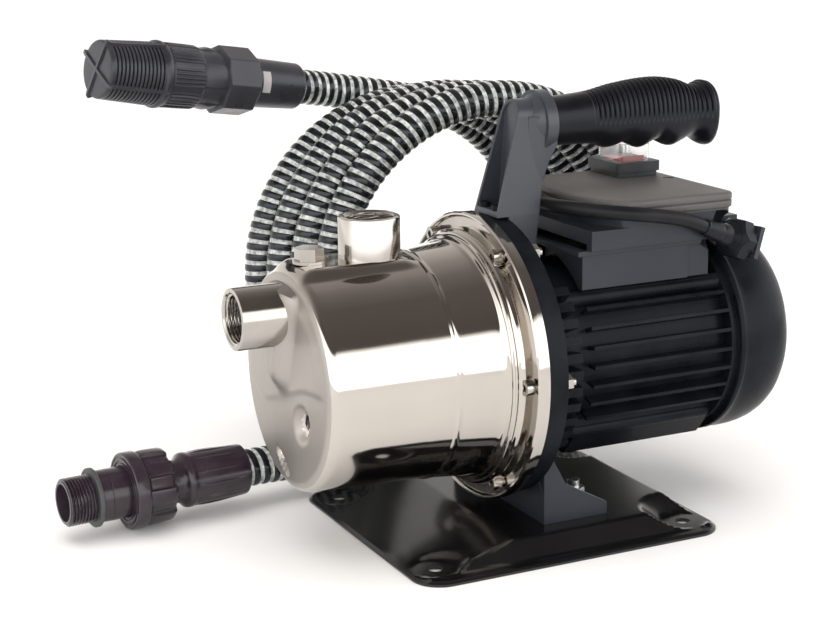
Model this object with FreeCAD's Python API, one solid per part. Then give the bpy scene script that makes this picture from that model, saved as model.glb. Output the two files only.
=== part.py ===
import FreeCAD, Part
import math
import os

from FreeCAD import Rotation, Vector

# Shallow well jet pump with a stainless casing, a finned motor on a pressed base, its mains lead
# and its suction hose set. Millimetres. The origin is the centre of the base plate's underside.
# +X runs along the shaft from the suction end to the fan, +Y to the far side, +Z up.

# Driving dimensions
AXIS_Z = 119.0            # height of the shaft above the floor

# Base plate and foot
BASE_LENGTH = 230.0
BASE_WIDTH = 206.0
BASE_CORNER = 20.0
BASE_RIM = 3.0
BASE_CROWN = 14.0
BASE_SHEET = 2.2
BASE_HOLE_X = 95.5
BASE_HOLE_Y = 77.3
BASE_HOLE_R = 5.0
DIMPLE_R = 17.0
FOOT_BOLT_X = 29.0
FOOT_BOLT_Y = 42.0
FOOT_BOLT_R = 4.0

# Pump casing
CASING_FRONT = -165.0
CASING_R_FRONT = 74.6
CASING_R_REAR = 79.5
CASING_SHEET = 2.0
LAND_X = -31.0            # front of the casing flange
FLANGE_R = 99.0
RIM_REAR = -22.9
SCREW_CIRCLE_R = 89.5
SCREW_COUNT = 6
SCREW_R = 3.0
PORT_R = 20.5             # outside of the threaded sockets
PORT_BORE_R = 15.15       # G 1 internal thread, minor diameter 30.3
SUCTION_Z = AXIS_Z + 45.3
SUCTION_X = -200.3
DISCHARGE_X = -103.3
DISCHARGE_Z = 223.2
SADDLE_Z = 196.0
FILLER_X = -146.0

# Shaft line
SHAFT_PUMP_R = 6.0
SHAFT_BEARING_R = 7.5
SHAFT_CORE_R = 10.0
SHAFT_FAN_R = 5.0
RUNNING_GAP = 0.03
SEAL_FACE_X = -27.0
SEAL_GAP = 0.05
FRONT_BEARING = (-4.0, 7.0, 17.5)
REAR_BEARING = (127.2, 137.2, 16.0)
STACK_X = (30.0, 100.0)
ROTOR_R = 31.5
STATOR_IN_R = 32.0
STATOR_OUT_R = 57.0

# Motor shell
ADAPTER_X = (-27.0, -8.0)
ADAPTER_R = 96.5
HOUSING_X = (12.0, 138.0)
HOUSING_R = 61.5
FIN_TIP_R = 70.3
FIN_X = (28.0, 141.0)
FIN_PITCH_DEG = 11.0
FIN_COUNT_SIDE = 8
TIE_ROD_R = 2.5
TIE_ROD_CIRCLE_R = 64.5
TIE_ROD_ANGLES = (42.0, 138.0, 232.0, 308.0)
COVER_X = (143.0, 191.5)
COVER_R = 75.0
FAN_X = (154.0, 178.0)

# Terminal box
BOX_FLOOR_Z = 190.5
BOX_HALF_WIDTH = 60.5
LID_HALF_WIDTH = 63.0
LID_Z = (216.5, 227.0)
LID_FRONT_X = 38.0
LID_REAR_X = 143.0
LID_SCREW = (134.0, 7.0)
SWITCH_X = 118.5
SWITCH_Y = 41.5
SWITCH_SIZE = (36.0, 42.0)
COVER_SIZE = (25.0, 32.0)
TUB_SIZE = (24.0, 31.0)
ROCKER_PIVOT_Z = 233.0
ROCKER_TILT_DEG = 7.0
GLAND_POINT = Vector(150.0, -59.0, 192.0)
GLAND_TURN_DEG = 15.0     # the gland points to the suction end, turned this far to the near side
GLAND_PITCH_DEG = 20.0    # and this far up

# Handle
GRIP_Z = 275.0
POST_WIDTH = ((216, 16.4), (280, 12.3))   # (height, half width) of the handle post
POST_SHEET = 2.3
HANDLE_SCREW_X = -12.5
CORE_R = 10.0

# Mains lead
CABLE_R = 4.5
CABLE_COIL_CENTRE = Vector(98.0, 322.0, 0.0)
CABLE_COIL_R = 50.0
PLUG_REAR = Vector(157.5, 300.0, 19.5)

# Suction hose
HOSE_R = 13.5
COIL_FRONT_CENTRE = Vector(71.0, 109.2, 146.0)
COIL_REAR_CENTRE = Vector(22.0, 260.0, 138.0)
COIL_FRONT_MEAN_R = 132.0
COIL_REAR_MEAN_R = 124.0
COUPLING_TIP = Vector(-293.4, 90.1, 27.5)
COUPLING_TURN_DEG = 5.05
COUPLING_LENGTH = 133.92
MALE_THREAD_R = 16.6      # G 1 external thread, major diameter 33.2
STRAINER_END = Vector(-54.0, 246.0, 279.5)
STRAINER_RISE_DEG = 8.7
STRAINER_TURN_DEG = 12.5

X = Vector(1, 0, 0)
Y = Vector(0, 1, 0)
Z = Vector(0, 0, 1)
AXIS = Vector(0, 0, AXIS_Z)


# Building blocks
def box(x0, x1, y0, y1, z0, z1):
    return Part.makeBox(x1 - x0, y1 - y0, z1 - z0, Vector(x0, y0, z0))


def xcyl(x0, x1, radius, y=0.0, z=AXIS_Z):
    return Part.makeCylinder(radius, x1 - x0, Vector(x0, y, z), X)


def xring(x0, x1, outer, inner, y=0.0, z=AXIS_Z):
    return xcyl(x0, x1, outer, y, z).cut(xcyl(x0 - 1, x1 + 1, inner, y, z))


def zcyl(z0, z1, radius, x, y):
    return Part.makeCylinder(radius, z1 - z0, Vector(x, y, z0), Z)


def turned(profile):
    """Solid of revolution about the shaft from (x, radius) points."""
    points = [Vector(x, 0, AXIS_Z + r) for x, r in profile]
    face = Part.Face(Part.makePolygon(points + points[:1]))
    return face.revolve(AXIS, X, 360)


def slab(outline, y0, y1):
    """Plate with an (x, z) outline, from y0 to y1."""
    points = [Vector(x, y0, z) for x, z in outline]
    face = Part.Face(Part.makePolygon(points + points[:1]))
    return face.extrude(Vector(0, y1 - y0, 0))


def plate(outline, z0, z1):
    """Plate with an (x, y) outline, from z0 to z1."""
    points = [Vector(x, y, z0) for x, y in outline]
    face = Part.Face(Part.makePolygon(points + points[:1]))
    return face.extrude(Vector(0, 0, z1 - z0))


def hexagon(x0, x1, across_flats, y=0.0, z=AXIS_Z, turn=0.0):
    radius = across_flats / math.sqrt(3)
    angles = [math.radians(turn + 60 * k) for k in range(6)]
    points = [Vector(x0, y + radius * math.cos(a), z + radius * math.sin(a)) for a in angles]
    face = Part.Face(Part.makePolygon(points + points[:1]))
    return face.extrude(Vector(x1 - x0, 0, 0))


def round_upright_edges(shape, radius):
    """Fillets the straight edges that run along Z."""
    edges = [e for e in shape.Edges if len(e.Vertexes) == 2
             and abs(abs((e.Vertexes[1].Point - e.Vertexes[0].Point).normalize().z) - 1) < 1e-6]
    return shape.makeFillet(radius, edges)


def fused(shapes):
    first, rest = shapes[0], shapes[1:]
    return first.fuse(rest).removeSplitter() if rest else first


def around(shape, angle):
    """Copy of a shape turned about the shaft."""
    copy = shape.copy()
    copy.rotate(AXIS, X, angle)
    return copy


def circle_point(radius, angle_deg):
    """(y, z) on a circle about the shaft; 0 degrees is the near side, 90 is up."""
    a = math.radians(angle_deg)
    return -radius * math.cos(a), AXIS_Z + radius * math.sin(a)


# Base
def crown(drop):
    """Raised middle of the base plate, a frustum that leans back from the front edge."""
    low, high = BASE_RIM - 0.5 - drop, BASE_CROWN - drop
    bottom = [(-108, -97), (104, -97), (104, 97), (-108, 97)]
    top = [(-34, -80), (80, -80), (80, 80), (-34, 80)]
    wires = [Part.makePolygon([Vector(x, y, z) for x, y in ring + ring[:1]])
             for ring, z in ((bottom, low), (top, high))]
    return Part.makeLoft(wires, True, True)


def hole_points():
    return [(sx * BASE_HOLE_X, sy * BASE_HOLE_Y) for sx in (-1, 1) for sy in (-1, 1)]


def base_plate():
    half_l, half_w = BASE_LENGTH / 2, BASE_WIDTH / 2
    rim = round_upright_edges(box(-half_l, half_l, -half_w, half_w, 0, BASE_RIM), BASE_CORNER)
    body = fused([rim, crown(0)])
    hollow = crown(BASE_SHEET)
    for x, y in hole_points():
        body = body.cut(zcyl(BASE_RIM, 40, DIMPLE_R, x, y))
        hollow = hollow.cut(zcyl(-10, 40, DIMPLE_R + BASE_SHEET, x, y))
    body = body.cut(hollow)
    for x, y in hole_points():
        body = body.cut(zcyl(-1, 10, BASE_HOLE_R, x, y))
    for side in (-1, 1):
        body = body.cut(zcyl(0, 30, FOOT_BOLT_R + 0.3, FOOT_BOLT_X, side * FOOT_BOLT_Y))
    return body


def foot_bracket():
    back = ADAPTER_X[1]
    web_outline = [(-66, 14), (66, 14), (66, 28), (44, 72), (-44, 72), (-66, 28)]
    points = [Vector(back, y, z) for y, z in web_outline]
    web = Part.Face(Part.makePolygon(points + points[:1])).extrude(Vector(9, 0, 0))
    shelf = box(back, 41, -66, 66, BASE_CROWN, 20)
    cheek = [(back, 20), (41, 20), (41, 22.5), (8.5, 40.5), (-1, 58), (back, 58)]
    cheeks = [slab(cheek, side * 64 - 2, side * 64 + 2) for side in (-1, 1)]
    body = fused([web, shelf] + cheeks)
    for side in (-1, 1):
        body = body.cut(zcyl(0, 40, FOOT_BOLT_R + 0.3, FOOT_BOLT_X, side * FOOT_BOLT_Y))
    body = body.cut(xcyl(back - 1, back + 30, 72.0))
    for y, z in screw_points():
        body = body.cut(xcyl(back - 1, back + 12, SCREW_R + 0.3, y, z))
    return body


def foot_bolts():
    bolts = []
    for side in (-1, 1):
        y = side * FOOT_BOLT_Y
        shank = zcyl(6.2, 33, FOOT_BOLT_R, FOOT_BOLT_X, y)
        head = zcyl(6.2, 11.6, 6.5, FOOT_BOLT_X, y)
        washer = zcyl(20, 21.6, 8.5, FOOT_BOLT_X, y)
        nut = hexagon(0, 6.5, 13.0, 0, 0)
        nut.Placement = FreeCAD.Placement(Vector(FOOT_BOLT_X, y, 21.6), Rotation(Y, -90))
        bolts.append(fused([shank, head, washer, nut]))
    return Part.makeCompound(bolts)


# Pump end
def screw_points():
    step = 360 / SCREW_COUNT
    return [circle_point(SCREW_CIRCLE_R, step * k) for k in range(SCREW_COUNT)]


def casing_profile(inset):
    """(x, radius) outline of the casing, moved inwards by the sheet thickness for its inside."""
    front = CASING_FRONT + inset
    land = LAND_X + inset
    return [
        (front, 0), (front, 66 - inset * 0.4), (front + 2.2, 71.5 - inset * 0.7),
        (front + 8, CASING_R_FRONT - inset), (-54, CASING_R_REAR - inset),
        (-45, 80.4 - inset), (-40, 82.6 - inset), (land, 84.2 - inset),
    ]


def pump_casing():
    outer = casing_profile(0) + [
        (LAND_X, FLANGE_R - 2.5), (LAND_X + 1.5, FLANGE_R - 0.6), (LAND_X + 3, FLANGE_R),
        (RIM_REAR, FLANGE_R), (RIM_REAR, 0),
    ]
    inner = casing_profile(CASING_SHEET) + [
        (LAND_X + CASING_SHEET, FLANGE_R - 2.0), (RIM_REAR + 1, FLANGE_R - 2.0), (RIM_REAR + 1, 0),
    ]
    outside = turned(outer)
    inside = turned(inner)
    saddle = box(-160, -78, -21, 21, AXIS_Z + 40, SADDLE_Z)
    saddle = round_upright_edges(saddle, 18)
    hollow = round_upright_edges(box(-158, -80, -19, 19, AXIS_Z + 30, SADDLE_Z - 2), 16)
    body = outside.fuse(saddle).cut(inside.fuse(hollow))
    body = body.cut(xcyl(-210, -150, PORT_R, 0, SUCTION_Z))
    body = body.cut(zcyl(180, 240, PORT_R, DISCHARGE_X, 0))
    body = body.cut(zcyl(180, 240, 8.0, FILLER_X, 0))
    for y, z in screw_points():
        body = body.cut(xcyl(-60, 0, SCREW_R + 0.3, y, z))
    return body.removeSplitter()


def suction_socket():
    return xring(SUCTION_X, -160.5, PORT_R, PORT_BORE_R, 0, SUCTION_Z)


def discharge_socket():
    low = SADDLE_Z - 4.5
    ring = zcyl(low, DISCHARGE_Z, PORT_R, DISCHARGE_X, 0)
    return ring.cut(zcyl(low - 1, DISCHARGE_Z + 1, PORT_BORE_R, DISCHARGE_X, 0))


def filler_plug():
    head = hexagon(0, 8.0, 17.0, 0, 0)
    head.Placement = FreeCAD.Placement(Vector(FILLER_X, 0, SADDLE_Z + 2.0), Rotation(Y, -90))
    return fused([head, zcyl(SADDLE_Z - 9, SADDLE_Z + 2.0, 7.9, FILLER_X, 0)])


def filler_washer():
    ring = zcyl(SADDLE_Z, SADDLE_Z + 2.0, 11.0, FILLER_X, 0)
    return ring.cut(zcyl(SADDLE_Z - 1, SADDLE_Z + 3, 7.95, FILLER_X, 0))


def flange_screws():
    screws = []
    back = ADAPTER_X[1]
    for k, (y, z) in enumerate(screw_points()):
        clamps_foot = z < AXIS_Z - 30
        seat = back + 9 if clamps_foot else back
        head = xcyl(LAND_X - 6, LAND_X, 5.0, y, z).cut(hexagon(LAND_X - 7, LAND_X - 3, 4.4, y, z))
        shank = xcyl(LAND_X, seat + 8, SCREW_R, y, z)
        nut = hexagon(seat, seat + 5, 10.0, y, z, 30.0)
        screws.append(fused([head, shank, nut]))
    return Part.makeCompound(screws)


def casing_o_ring():
    section = 1.5
    ring = Part.makeTorus(80.3, section, Vector(LAND_X + CASING_SHEET - section - 0.02, 0, AXIS_Z), X)
    return ring


def ejector_nozzle():
    outer = [(-150, 0), (-150, 15), (-140, 15), (-124, 9.5), (-124, 0)]
    inner = [(-151, 0), (-151, 12), (-140, 11), (-123, 5), (-123, 0)]
    return turned(outer).cut(turned(inner))


def venturi_tube():
    outer = [(-124, 0), (-124, 17), (-112, 17), (-104, 13), (-66, 19), (-66, 0)]
    inner = [(-125, 0), (-125, 13), (-112, 9), (-104, 8), (-65, 15), (-65, 0)]
    return turned(outer).cut(turned(inner))


def diffuser():
    body = xring(-66, -60, 68, 15).fuse(xring(-60, -34, 68, 62))
    vanes = [around(box(-58, -34, 61.5, 62.5, AXIS_Z - 1.5, AXIS_Z + 1.5), 45 * k) for k in range(8)]
    for k in range(12):
        y, z = circle_point(65, 30 * k + 15)
        body = body.cut(xcyl(-70, -30, 2.2, y, z))
    return fused([body] + vanes)


def impeller():
    hub = xring(-52, -36, 13, SHAFT_PUMP_R)
    back = xring(-40, -36, 58, SHAFT_PUMP_R)
    front = xring(-52, -50, 58, 22)
    vane = box(-50.5, -39.5, 20, 56, AXIS_Z - 1.2, AXIS_Z + 1.2)
    vane.rotate(Vector(-45, 20, AXIS_Z), X, 28)
    vanes = [around(vane, 60 * k) for k in range(6)]
    body = fused([hub, back, front] + vanes)
    return body.common(xcyl(-60, -30, 58))


def seal_plate():
    plate_x = LAND_X + CASING_SHEET
    ring = xring(plate_x, ADAPTER_X[0], 95.0, 14.0)
    collar = xring(plate_x, ADAPTER_X[0] + 6, 17.0, 14.0)
    body = fused([ring, collar])
    for y, z in screw_points():
        body = body.cut(xcyl(-60, 0, SCREW_R + 0.3, y, z))
    return body


def seal_seat():
    return xring(SEAL_FACE_X, SEAL_FACE_X + 6, 14.0, SHAFT_PUMP_R + 1.5)


def seal_head():
    face = xring(-30, SEAL_FACE_X - SEAL_GAP, 10.5, SHAFT_PUMP_R)
    bellows = xring(-36, -30, 12.0, SHAFT_PUMP_R)
    return fused([bellows, face])


# Motor
def tie_rod_points():
    return [circle_point(TIE_ROD_CIRCLE_R, a) for a in TIE_ROD_ANGLES]


def motor_adapter():
    front, back = ADAPTER_X
    start, end, outer = FRONT_BEARING
    disc = xring(front, back, ADAPTER_R, SHAFT_BEARING_R + 1.0)
    hub = xring(back, 12, 24, SHAFT_BEARING_R + 1.0)
    ring = xring(back, 12, 66, HOUSING_R - 4.5)
    ribs = []
    rib_step = 8.3
    for side in (0, 180):
        for k in range(-5, 6):
            rib = box(back - 1, 13, -80, -65, AXIS_Z - 3.2, AXIS_Z + 3.2)
            ribs.append(around(rib, side + rib_step * k))
    bosses = [xcyl(back - 1, HOUSING_X[0] + 2, 6.5, y, z) for y, z in tie_rod_points()]
    body = fused([disc, hub, ring] + ribs + bosses)
    body = body.cut(xcyl(start, end + 20, outer))
    body = body.cut(xcyl(front - 1, front + 6, 17.0))
    for y, z in tie_rod_points():
        body = body.cut(xcyl(back + 2, 40, TIE_ROD_R + 0.1, y, z))
    body = body.cut(xcyl(HOUSING_X[0], 40, HOUSING_R))
    for y, z in screw_points():
        body = body.cut(xcyl(-60, 0, SCREW_R + 0.3, y, z))
    for y in (-9, 9):
        body = body.cut(zcyl(198, 240, 2.2, HANDLE_SCREW_X, y))
    return body


def bearing(spec, shaft_radius):
    start, end, outer = spec
    return xring(start, end, outer, shaft_radius + RUNNING_GAP)


def front_bearing():
    return bearing(FRONT_BEARING, SHAFT_BEARING_R)


def rear_bearing():
    return bearing(REAR_BEARING, SHAFT_PUMP_R)


def wave_washer():
    return xring(REAR_BEARING[1], REAR_BEARING[1] + 1.2, REAR_BEARING[2] - 0.5, 11.0)


def motor_shaft():
    profile = [
        (-52, 0), (-52, SHAFT_PUMP_R), (-10, SHAFT_PUMP_R), (-10, SHAFT_BEARING_R),
        (9, SHAFT_BEARING_R), (9, SHAFT_CORE_R), (124, SHAFT_CORE_R), (124, SHAFT_PUMP_R),
        (146, SHAFT_PUMP_R), (146, SHAFT_FAN_R), (FAN_X[1], SHAFT_FAN_R), (FAN_X[1], 0),
    ]
    return turned(profile)


def rotor_core():
    stack = xring(STACK_X[0], STACK_X[1], ROTOR_R, SHAFT_CORE_R)
    end_rings = [xring(STACK_X[0] - 7, STACK_X[0], 29, 17), xring(STACK_X[1], STACK_X[1] + 7, 29, 17)]
    return fused([stack] + end_rings)


def stator_core():
    stack = xring(STACK_X[0], STACK_X[1], STATOR_OUT_R, STATOR_IN_R)
    for k in range(24):
        y, z = circle_point(42, 15 * k)
        stack = stack.cut(xcyl(STACK_X[0] - 1, STACK_X[1] + 1, 3.4, y, z))
    return stack


def stator_windings():
    slots = [xcyl(STACK_X[0] - 4, STACK_X[1] + 4, 3.1, *circle_point(42, 15 * k)) for k in range(24)]
    front = xring(STACK_X[0] - 14, STACK_X[0] - 1, 52, 34.5)
    rear = xring(STACK_X[1] + 1, STACK_X[1] + 15, 52, 34.5)
    return fused([front, rear] + slots)


def fin_angles():
    """Fins fill both sides, and leave the top to the terminal box and the bottom to a smooth panel."""
    near = [FIN_PITCH_DEG * k for k in range(-4, FIN_COUNT_SIDE - 4)]
    return near + [180 - a for a in near]


def motor_housing():
    x0, x1 = HOUSING_X
    tube = xring(x0, x1, HOUSING_R, STATOR_OUT_R)
    fins = []
    for angle in fin_angles():
        fin = box(FIN_X[0], x1, -FIN_TIP_R, -HOUSING_R + 1, AXIS_Z - 1.3, AXIS_Z + 1.3)
        fins.append(around(fin, angle))
    belly = [(-30, AXIS_Z - FIN_TIP_R), (30, AXIS_Z - FIN_TIP_R), (44, AXIS_Z - 54),
             (44, AXIS_Z - 42), (-44, AXIS_Z - 42), (-44, AXIS_Z - 54)]
    points = [Vector(FIN_X[0], y, z) for y, z in belly]
    panel = Part.Face(Part.makePolygon(points + points[:1])).extrude(X * (x1 - FIN_X[0]))
    seat = box(40, 100, -18, 18, AXIS_Z + 55, BOX_FLOOR_Z)
    rods = [xcyl(x0 + 2, x1, 5.5, y, z) for y, z in tie_rod_points()]
    body = fused([tube, panel, seat] + fins + rods)
    body = body.cut(xcyl(x0 - 1, x1 + 1, STATOR_OUT_R))
    body = body.cut(box(64, 76, -6, 6, AXIS_Z + 50, BOX_FLOOR_Z + 1))
    for y, z in tie_rod_points():
        body = body.cut(xcyl(x0 - 1, x1 + 1, TIE_ROD_R + 0.1, y, z))
    return body


def rear_end_shield():
    start, end, outer = REAR_BEARING
    web = xring(HOUSING_X[1], COVER_X[0] + 0.2, FIN_TIP_R, SHAFT_PUMP_R + 1.0)
    rim = xring(COVER_X[0] + 0.2, 150, COVER_R - 2.1, 66)
    hub = xring(start - 3, 147, 22, SHAFT_PUMP_R + 1.0)
    joint = xring(HOUSING_X[1] + 2, COVER_X[0] + 3, FIN_TIP_R, 64)
    body = fused([web, rim, hub, joint])
    body = body.cut(xcyl(start - 10, end + 1.2, outer))
    for y, z in tie_rod_points():
        body = body.cut(xcyl(100, 160, TIE_ROD_R + 0.1, y, z))
        body = body.cut(xcyl(COVER_X[0] + 3, 160, 5.2, y, z))
    return body


def cooling_fan():
    hub = xring(FAN_X[0], FAN_X[1], 12, SHAFT_FAN_R)
    back = xring(FAN_X[0], FAN_X[0] + 2.5, 60, SHAFT_FAN_R)
    blades = [around(box(FAN_X[0] + 2, FAN_X[1] - 3, 11, 60, AXIS_Z - 1, AXIS_Z + 1), 45 * k)
              for k in range(8)]
    return fused([hub, back] + blades)


def fan_cover():
    x0, x1 = COVER_X
    outer = [(x0, 0), (x0, COVER_R), (x1 - 16, COVER_R), (x1 - 7, COVER_R - 2.6),
             (x1 - 2, COVER_R - 8), (x1, COVER_R - 16), (x1, 0)]
    t = 2.0
    inner = [(x0 - 1, 0), (x0 - 1, COVER_R - t), (x1 - 16.5, COVER_R - t), (x1 - 8.4, COVER_R - 4.2),
             (x1 - 3.8, COVER_R - 9), (x1 - t, COVER_R - 17), (x1 - t, 0)]
    body = turned(outer).cut(turned(inner))
    for k in range(24):
        slot = box(x1 - 10, x1 + 1, 20, 55, AXIS_Z - 2.2, AXIS_Z + 2.2)
        body = body.cut(around(slot, 15 * k))
    return body


def tie_rods():
    rods = []
    for y, z in tie_rod_points():
        rod = xcyl(ADAPTER_X[1] + 2, COVER_X[0] + 7, TIE_ROD_R, y, z)
        nut = hexagon(COVER_X[0] + 3, COVER_X[0] + 6.5, 8.0, y, z)
        rods.append(fused([rod, nut]))
    return Part.makeCompound(rods)


# Terminal box
def d_outline(half_width, front, rear):
    """D-shaped outline: square at the fan end, bowed at the suction end."""
    bow = front + 16
    start, middle, end = Vector(bow, -half_width, 0), Vector(front, 0, 0), Vector(bow, half_width, 0)
    arc = Part.Arc(start, middle, end).toShape()
    corners = [end, Vector(rear, half_width, 0), Vector(rear, -half_width, 0), start]
    lines = [Part.LineSegment(a, b).toShape() for a, b in zip(corners, corners[1:])]
    return Part.Face(Part.Wire([arc] + lines))


def d_block(half_width, front, rear, z0, z1, round_r=6.0):
    face = d_outline(half_width, front, rear)
    face.translate(Vector(0, 0, z0))
    return round_upright_edges(face.extrude(Vector(0, 0, z1 - z0)), round_r)


def terminal_box():
    """Tray with a skirt that straddles the motor and an entry wall for the gland."""
    rim = LID_Z[0] - 1.5
    clear_of_fins = xcyl(0, 160, FIN_TIP_R + 1.2).fuse(xcyl(COVER_X[0] - 1, 170, COVER_R + 1))
    collar = d_block(BOX_HALF_WIDTH, LID_FRONT_X + 2, LID_REAR_X - 1.5, 209.5, rim)
    upper = box(30, LID_REAR_X - 1.5, -BOX_HALF_WIDTH, BOX_HALF_WIDTH, 196, 209.5)
    shoulder = box(22, LID_REAR_X - 2, -57, 57, 192.5, 196)
    lower = box(26, 109.5, -55.5, 55.5, 169.5, 192.5).cut(box(29, 106.5, -52.5, 52.5, 160, BOX_FLOOR_Z))
    rear_block = box(109.5, 128, -53, 53, 169.5, 192.5)
    pocket_wall = box(27, 109, -55, -18.2, 170, 193)
    entry = gland_frame(box(3, 7, -13, 12, -10.5, 12))
    link = box(139, 157, -45, -32, 193, 207)
    body = fused([collar, upper, shoulder, lower, rear_block, pocket_wall, entry, link])
    nest = gland_frame(xcyl(-26, 3, 18.5, 0, 0))
    cavity = d_block(BOX_HALF_WIDTH - 3, LID_FRONT_X + 5, LID_REAR_X - 4.5, 198.5, 230, 4.0)
    tray = box(29, 137, -54, 54, 194.5, 200)
    pocket = box(30, 106, -45, -20, 170, 200).cut(xcyl(0, 160, FIN_TIP_R + 3.2))
    body = body.cut(clear_of_fins).cut(fused([cavity, tray, pocket]).cut(nest))
    body = body.cut(gland_frame(xcyl(-28, 0, 16.5, 0, 0)))
    x, y = LID_SCREW
    body = body.fuse(zcyl(193, rim, 4.2, x, y)).cut(zcyl(200, 230, 2.0, x, y))
    body = body.cut(gland_frame(xcyl(-2, 20, 8.0, 0, 0)))
    return body.cut(box(64, 76, -6, 6, 160, 200)).removeSplitter()


def lid_gasket():
    low, high = LID_Z[0] - 1.5, LID_Z[0]
    outer = d_block(BOX_HALF_WIDTH, LID_FRONT_X + 2, LID_REAR_X - 1.5, low, high)
    return outer.cut(d_block(BOX_HALF_WIDTH - 3, LID_FRONT_X + 5, LID_REAR_X - 4.5, low - 1, high + 1, 4.0))


def terminal_box_lid():
    low, high = LID_Z
    body = d_block(LID_HALF_WIDTH, LID_FRONT_X, LID_REAR_X, low, high, 8.0)
    body = body.cut(d_block(LID_HALF_WIDTH - 5, LID_FRONT_X + 6, LID_REAR_X - 6, low - 1, high - 2.5, 4.0))
    x, y = LID_SCREW
    body = body.fuse(zcyl(low, high - 1, 4.5, x, y)).cut(zcyl(low - 1, high + 1, 2.0, x, y))
    body = body.cut(zcyl(high - 2.5, high + 1, 3.6, x, y))
    half_x, half_y = TUB_SIZE[0] / 2 + 0.5, TUB_SIZE[1] / 2 + 0.5
    body = body.cut(box(SWITCH_X - half_x, SWITCH_X + half_x, SWITCH_Y - half_y, SWITCH_Y + half_y,
                        low - 1, high + 1))
    return body.removeSplitter()


def lid_screw():
    x, y = LID_SCREW
    head = zcyl(LID_Z[1] - 2.5, LID_Z[1] - 0.4, 3.5, x, y)
    return fused([head, zcyl(205, LID_Z[1] - 2.5, 1.9, x, y)])


def capacitor():
    can = xcyl(52, 98, 12.0, -32.3, 199)
    studs = [xcyl(98, 103, 1.5, -32.3 + dy, 199) for dy in (-5, 5)]
    return fused([can] + studs)


def terminal_block():
    body = box(58, 94, 10, 28, 194.5, 205)
    for k in range(4):
        body = body.cut(zcyl(198, 210, 2.6, 63 + 9 * k, 19))
    return body


def switch_body():
    """Frame that stands on the lid, its bezel and the housing that hangs below."""
    half_x, half_y = SWITCH_SIZE[0] / 2, SWITCH_SIZE[1] / 2
    top = LID_Z[1]
    frame = round_upright_edges(box(SWITCH_X - half_x + 1.5, SWITCH_X + half_x - 1.5,
                                    SWITCH_Y - half_y + 1.5, SWITCH_Y + half_y - 1.5, top, top + 3.5), 2.0)
    bezel = round_upright_edges(box(SWITCH_X - half_x, SWITCH_X + half_x, SWITCH_Y - half_y,
                                    SWITCH_Y + half_y, top + 3.5, top + 10.5), 2.5)
    half_x, half_y = TUB_SIZE[0] / 2, TUB_SIZE[1] / 2
    tub = box(SWITCH_X - half_x, SWITCH_X + half_x, SWITCH_Y - half_y, SWITCH_Y + half_y, 206, top)
    body = fused([frame, bezel, tub])
    return body.cut(box(SWITCH_X - 9.5, SWITCH_X + 9.5, SWITCH_Y - 15, SWITCH_Y + 15, 214, top + 13))


def switch_rocker():
    """Rocker on a pin along X, resting with its far end down."""
    half = 13.5
    top = ROCKER_PIVOT_Z + 6.5
    outline = [(-half, top), (0, top - 2.2), (half, top), (half - 1, ROCKER_PIVOT_Z - 2),
               (4, ROCKER_PIVOT_Z - 7), (-4, ROCKER_PIVOT_Z - 7), (-half + 1, ROCKER_PIVOT_Z - 2)]
    points = [Vector(SWITCH_X - 8.6, SWITCH_Y + y, z) for y, z in outline]
    body = Part.Face(Part.makePolygon(points + points[:1])).extrude(Vector(17.2, 0, 0))
    body.rotate(Vector(SWITCH_X, SWITCH_Y, ROCKER_PIVOT_Z), X, -ROCKER_TILT_DEG)
    return body


def switch_cover():
    """Clear splash cover over the rocker."""
    half_x, half_y = COVER_SIZE[0] / 2, COVER_SIZE[1] / 2
    low, high = LID_Z[1] + 10.5, LID_Z[1] + 23.5
    outer = box(SWITCH_X - half_x, SWITCH_X + half_x, SWITCH_Y - half_y, SWITCH_Y + half_y, low, high)
    outer = round_upright_edges(outer, 3.0)
    inner = box(SWITCH_X - half_x + 1, SWITCH_X + half_x - 1, SWITCH_Y - half_y + 1,
                SWITCH_Y + half_y - 1, low - 1, high - 1)
    return outer.cut(round_upright_edges(inner, 2.0))


def gland_frame(shape):
    """Places a shape built along +X from the gland point, where +X leads into the box."""
    copy = shape.copy()
    copy.rotate(Vector(0, 0, 0), Y, GLAND_PITCH_DEG)
    copy.rotate(Vector(0, 0, 0), Z, GLAND_TURN_DEG)
    copy.translate(GLAND_POINT)
    return copy


def local_ring(x0, x1, outer, inner):
    return xring(x0, x1, outer, inner, 0, 0)


def gland_body():
    collar = hexagon(0, 3.0, 24.0, 0, 0, 30).cut(xcyl(-1, 4, CABLE_R, 0, 0))
    thread = local_ring(3.0, 11.0, 7.9, CABLE_R)
    return gland_frame(fused([collar, thread]))


def gland_nut():
    nut = hexagon(-13.0, 0, 26.0, 0, 0).common(
        Part.makeCone(11.5, 21.5, 13.0, Vector(-13, 0, 0), X))
    dome = Part.makeCone(7.0, 11.0, 4.0, Vector(-17, 0, 0), X)
    body = fused([nut, dome]).cut(xcyl(-20, 1, CABLE_R, 0, 0))
    return gland_frame(body)


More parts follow.
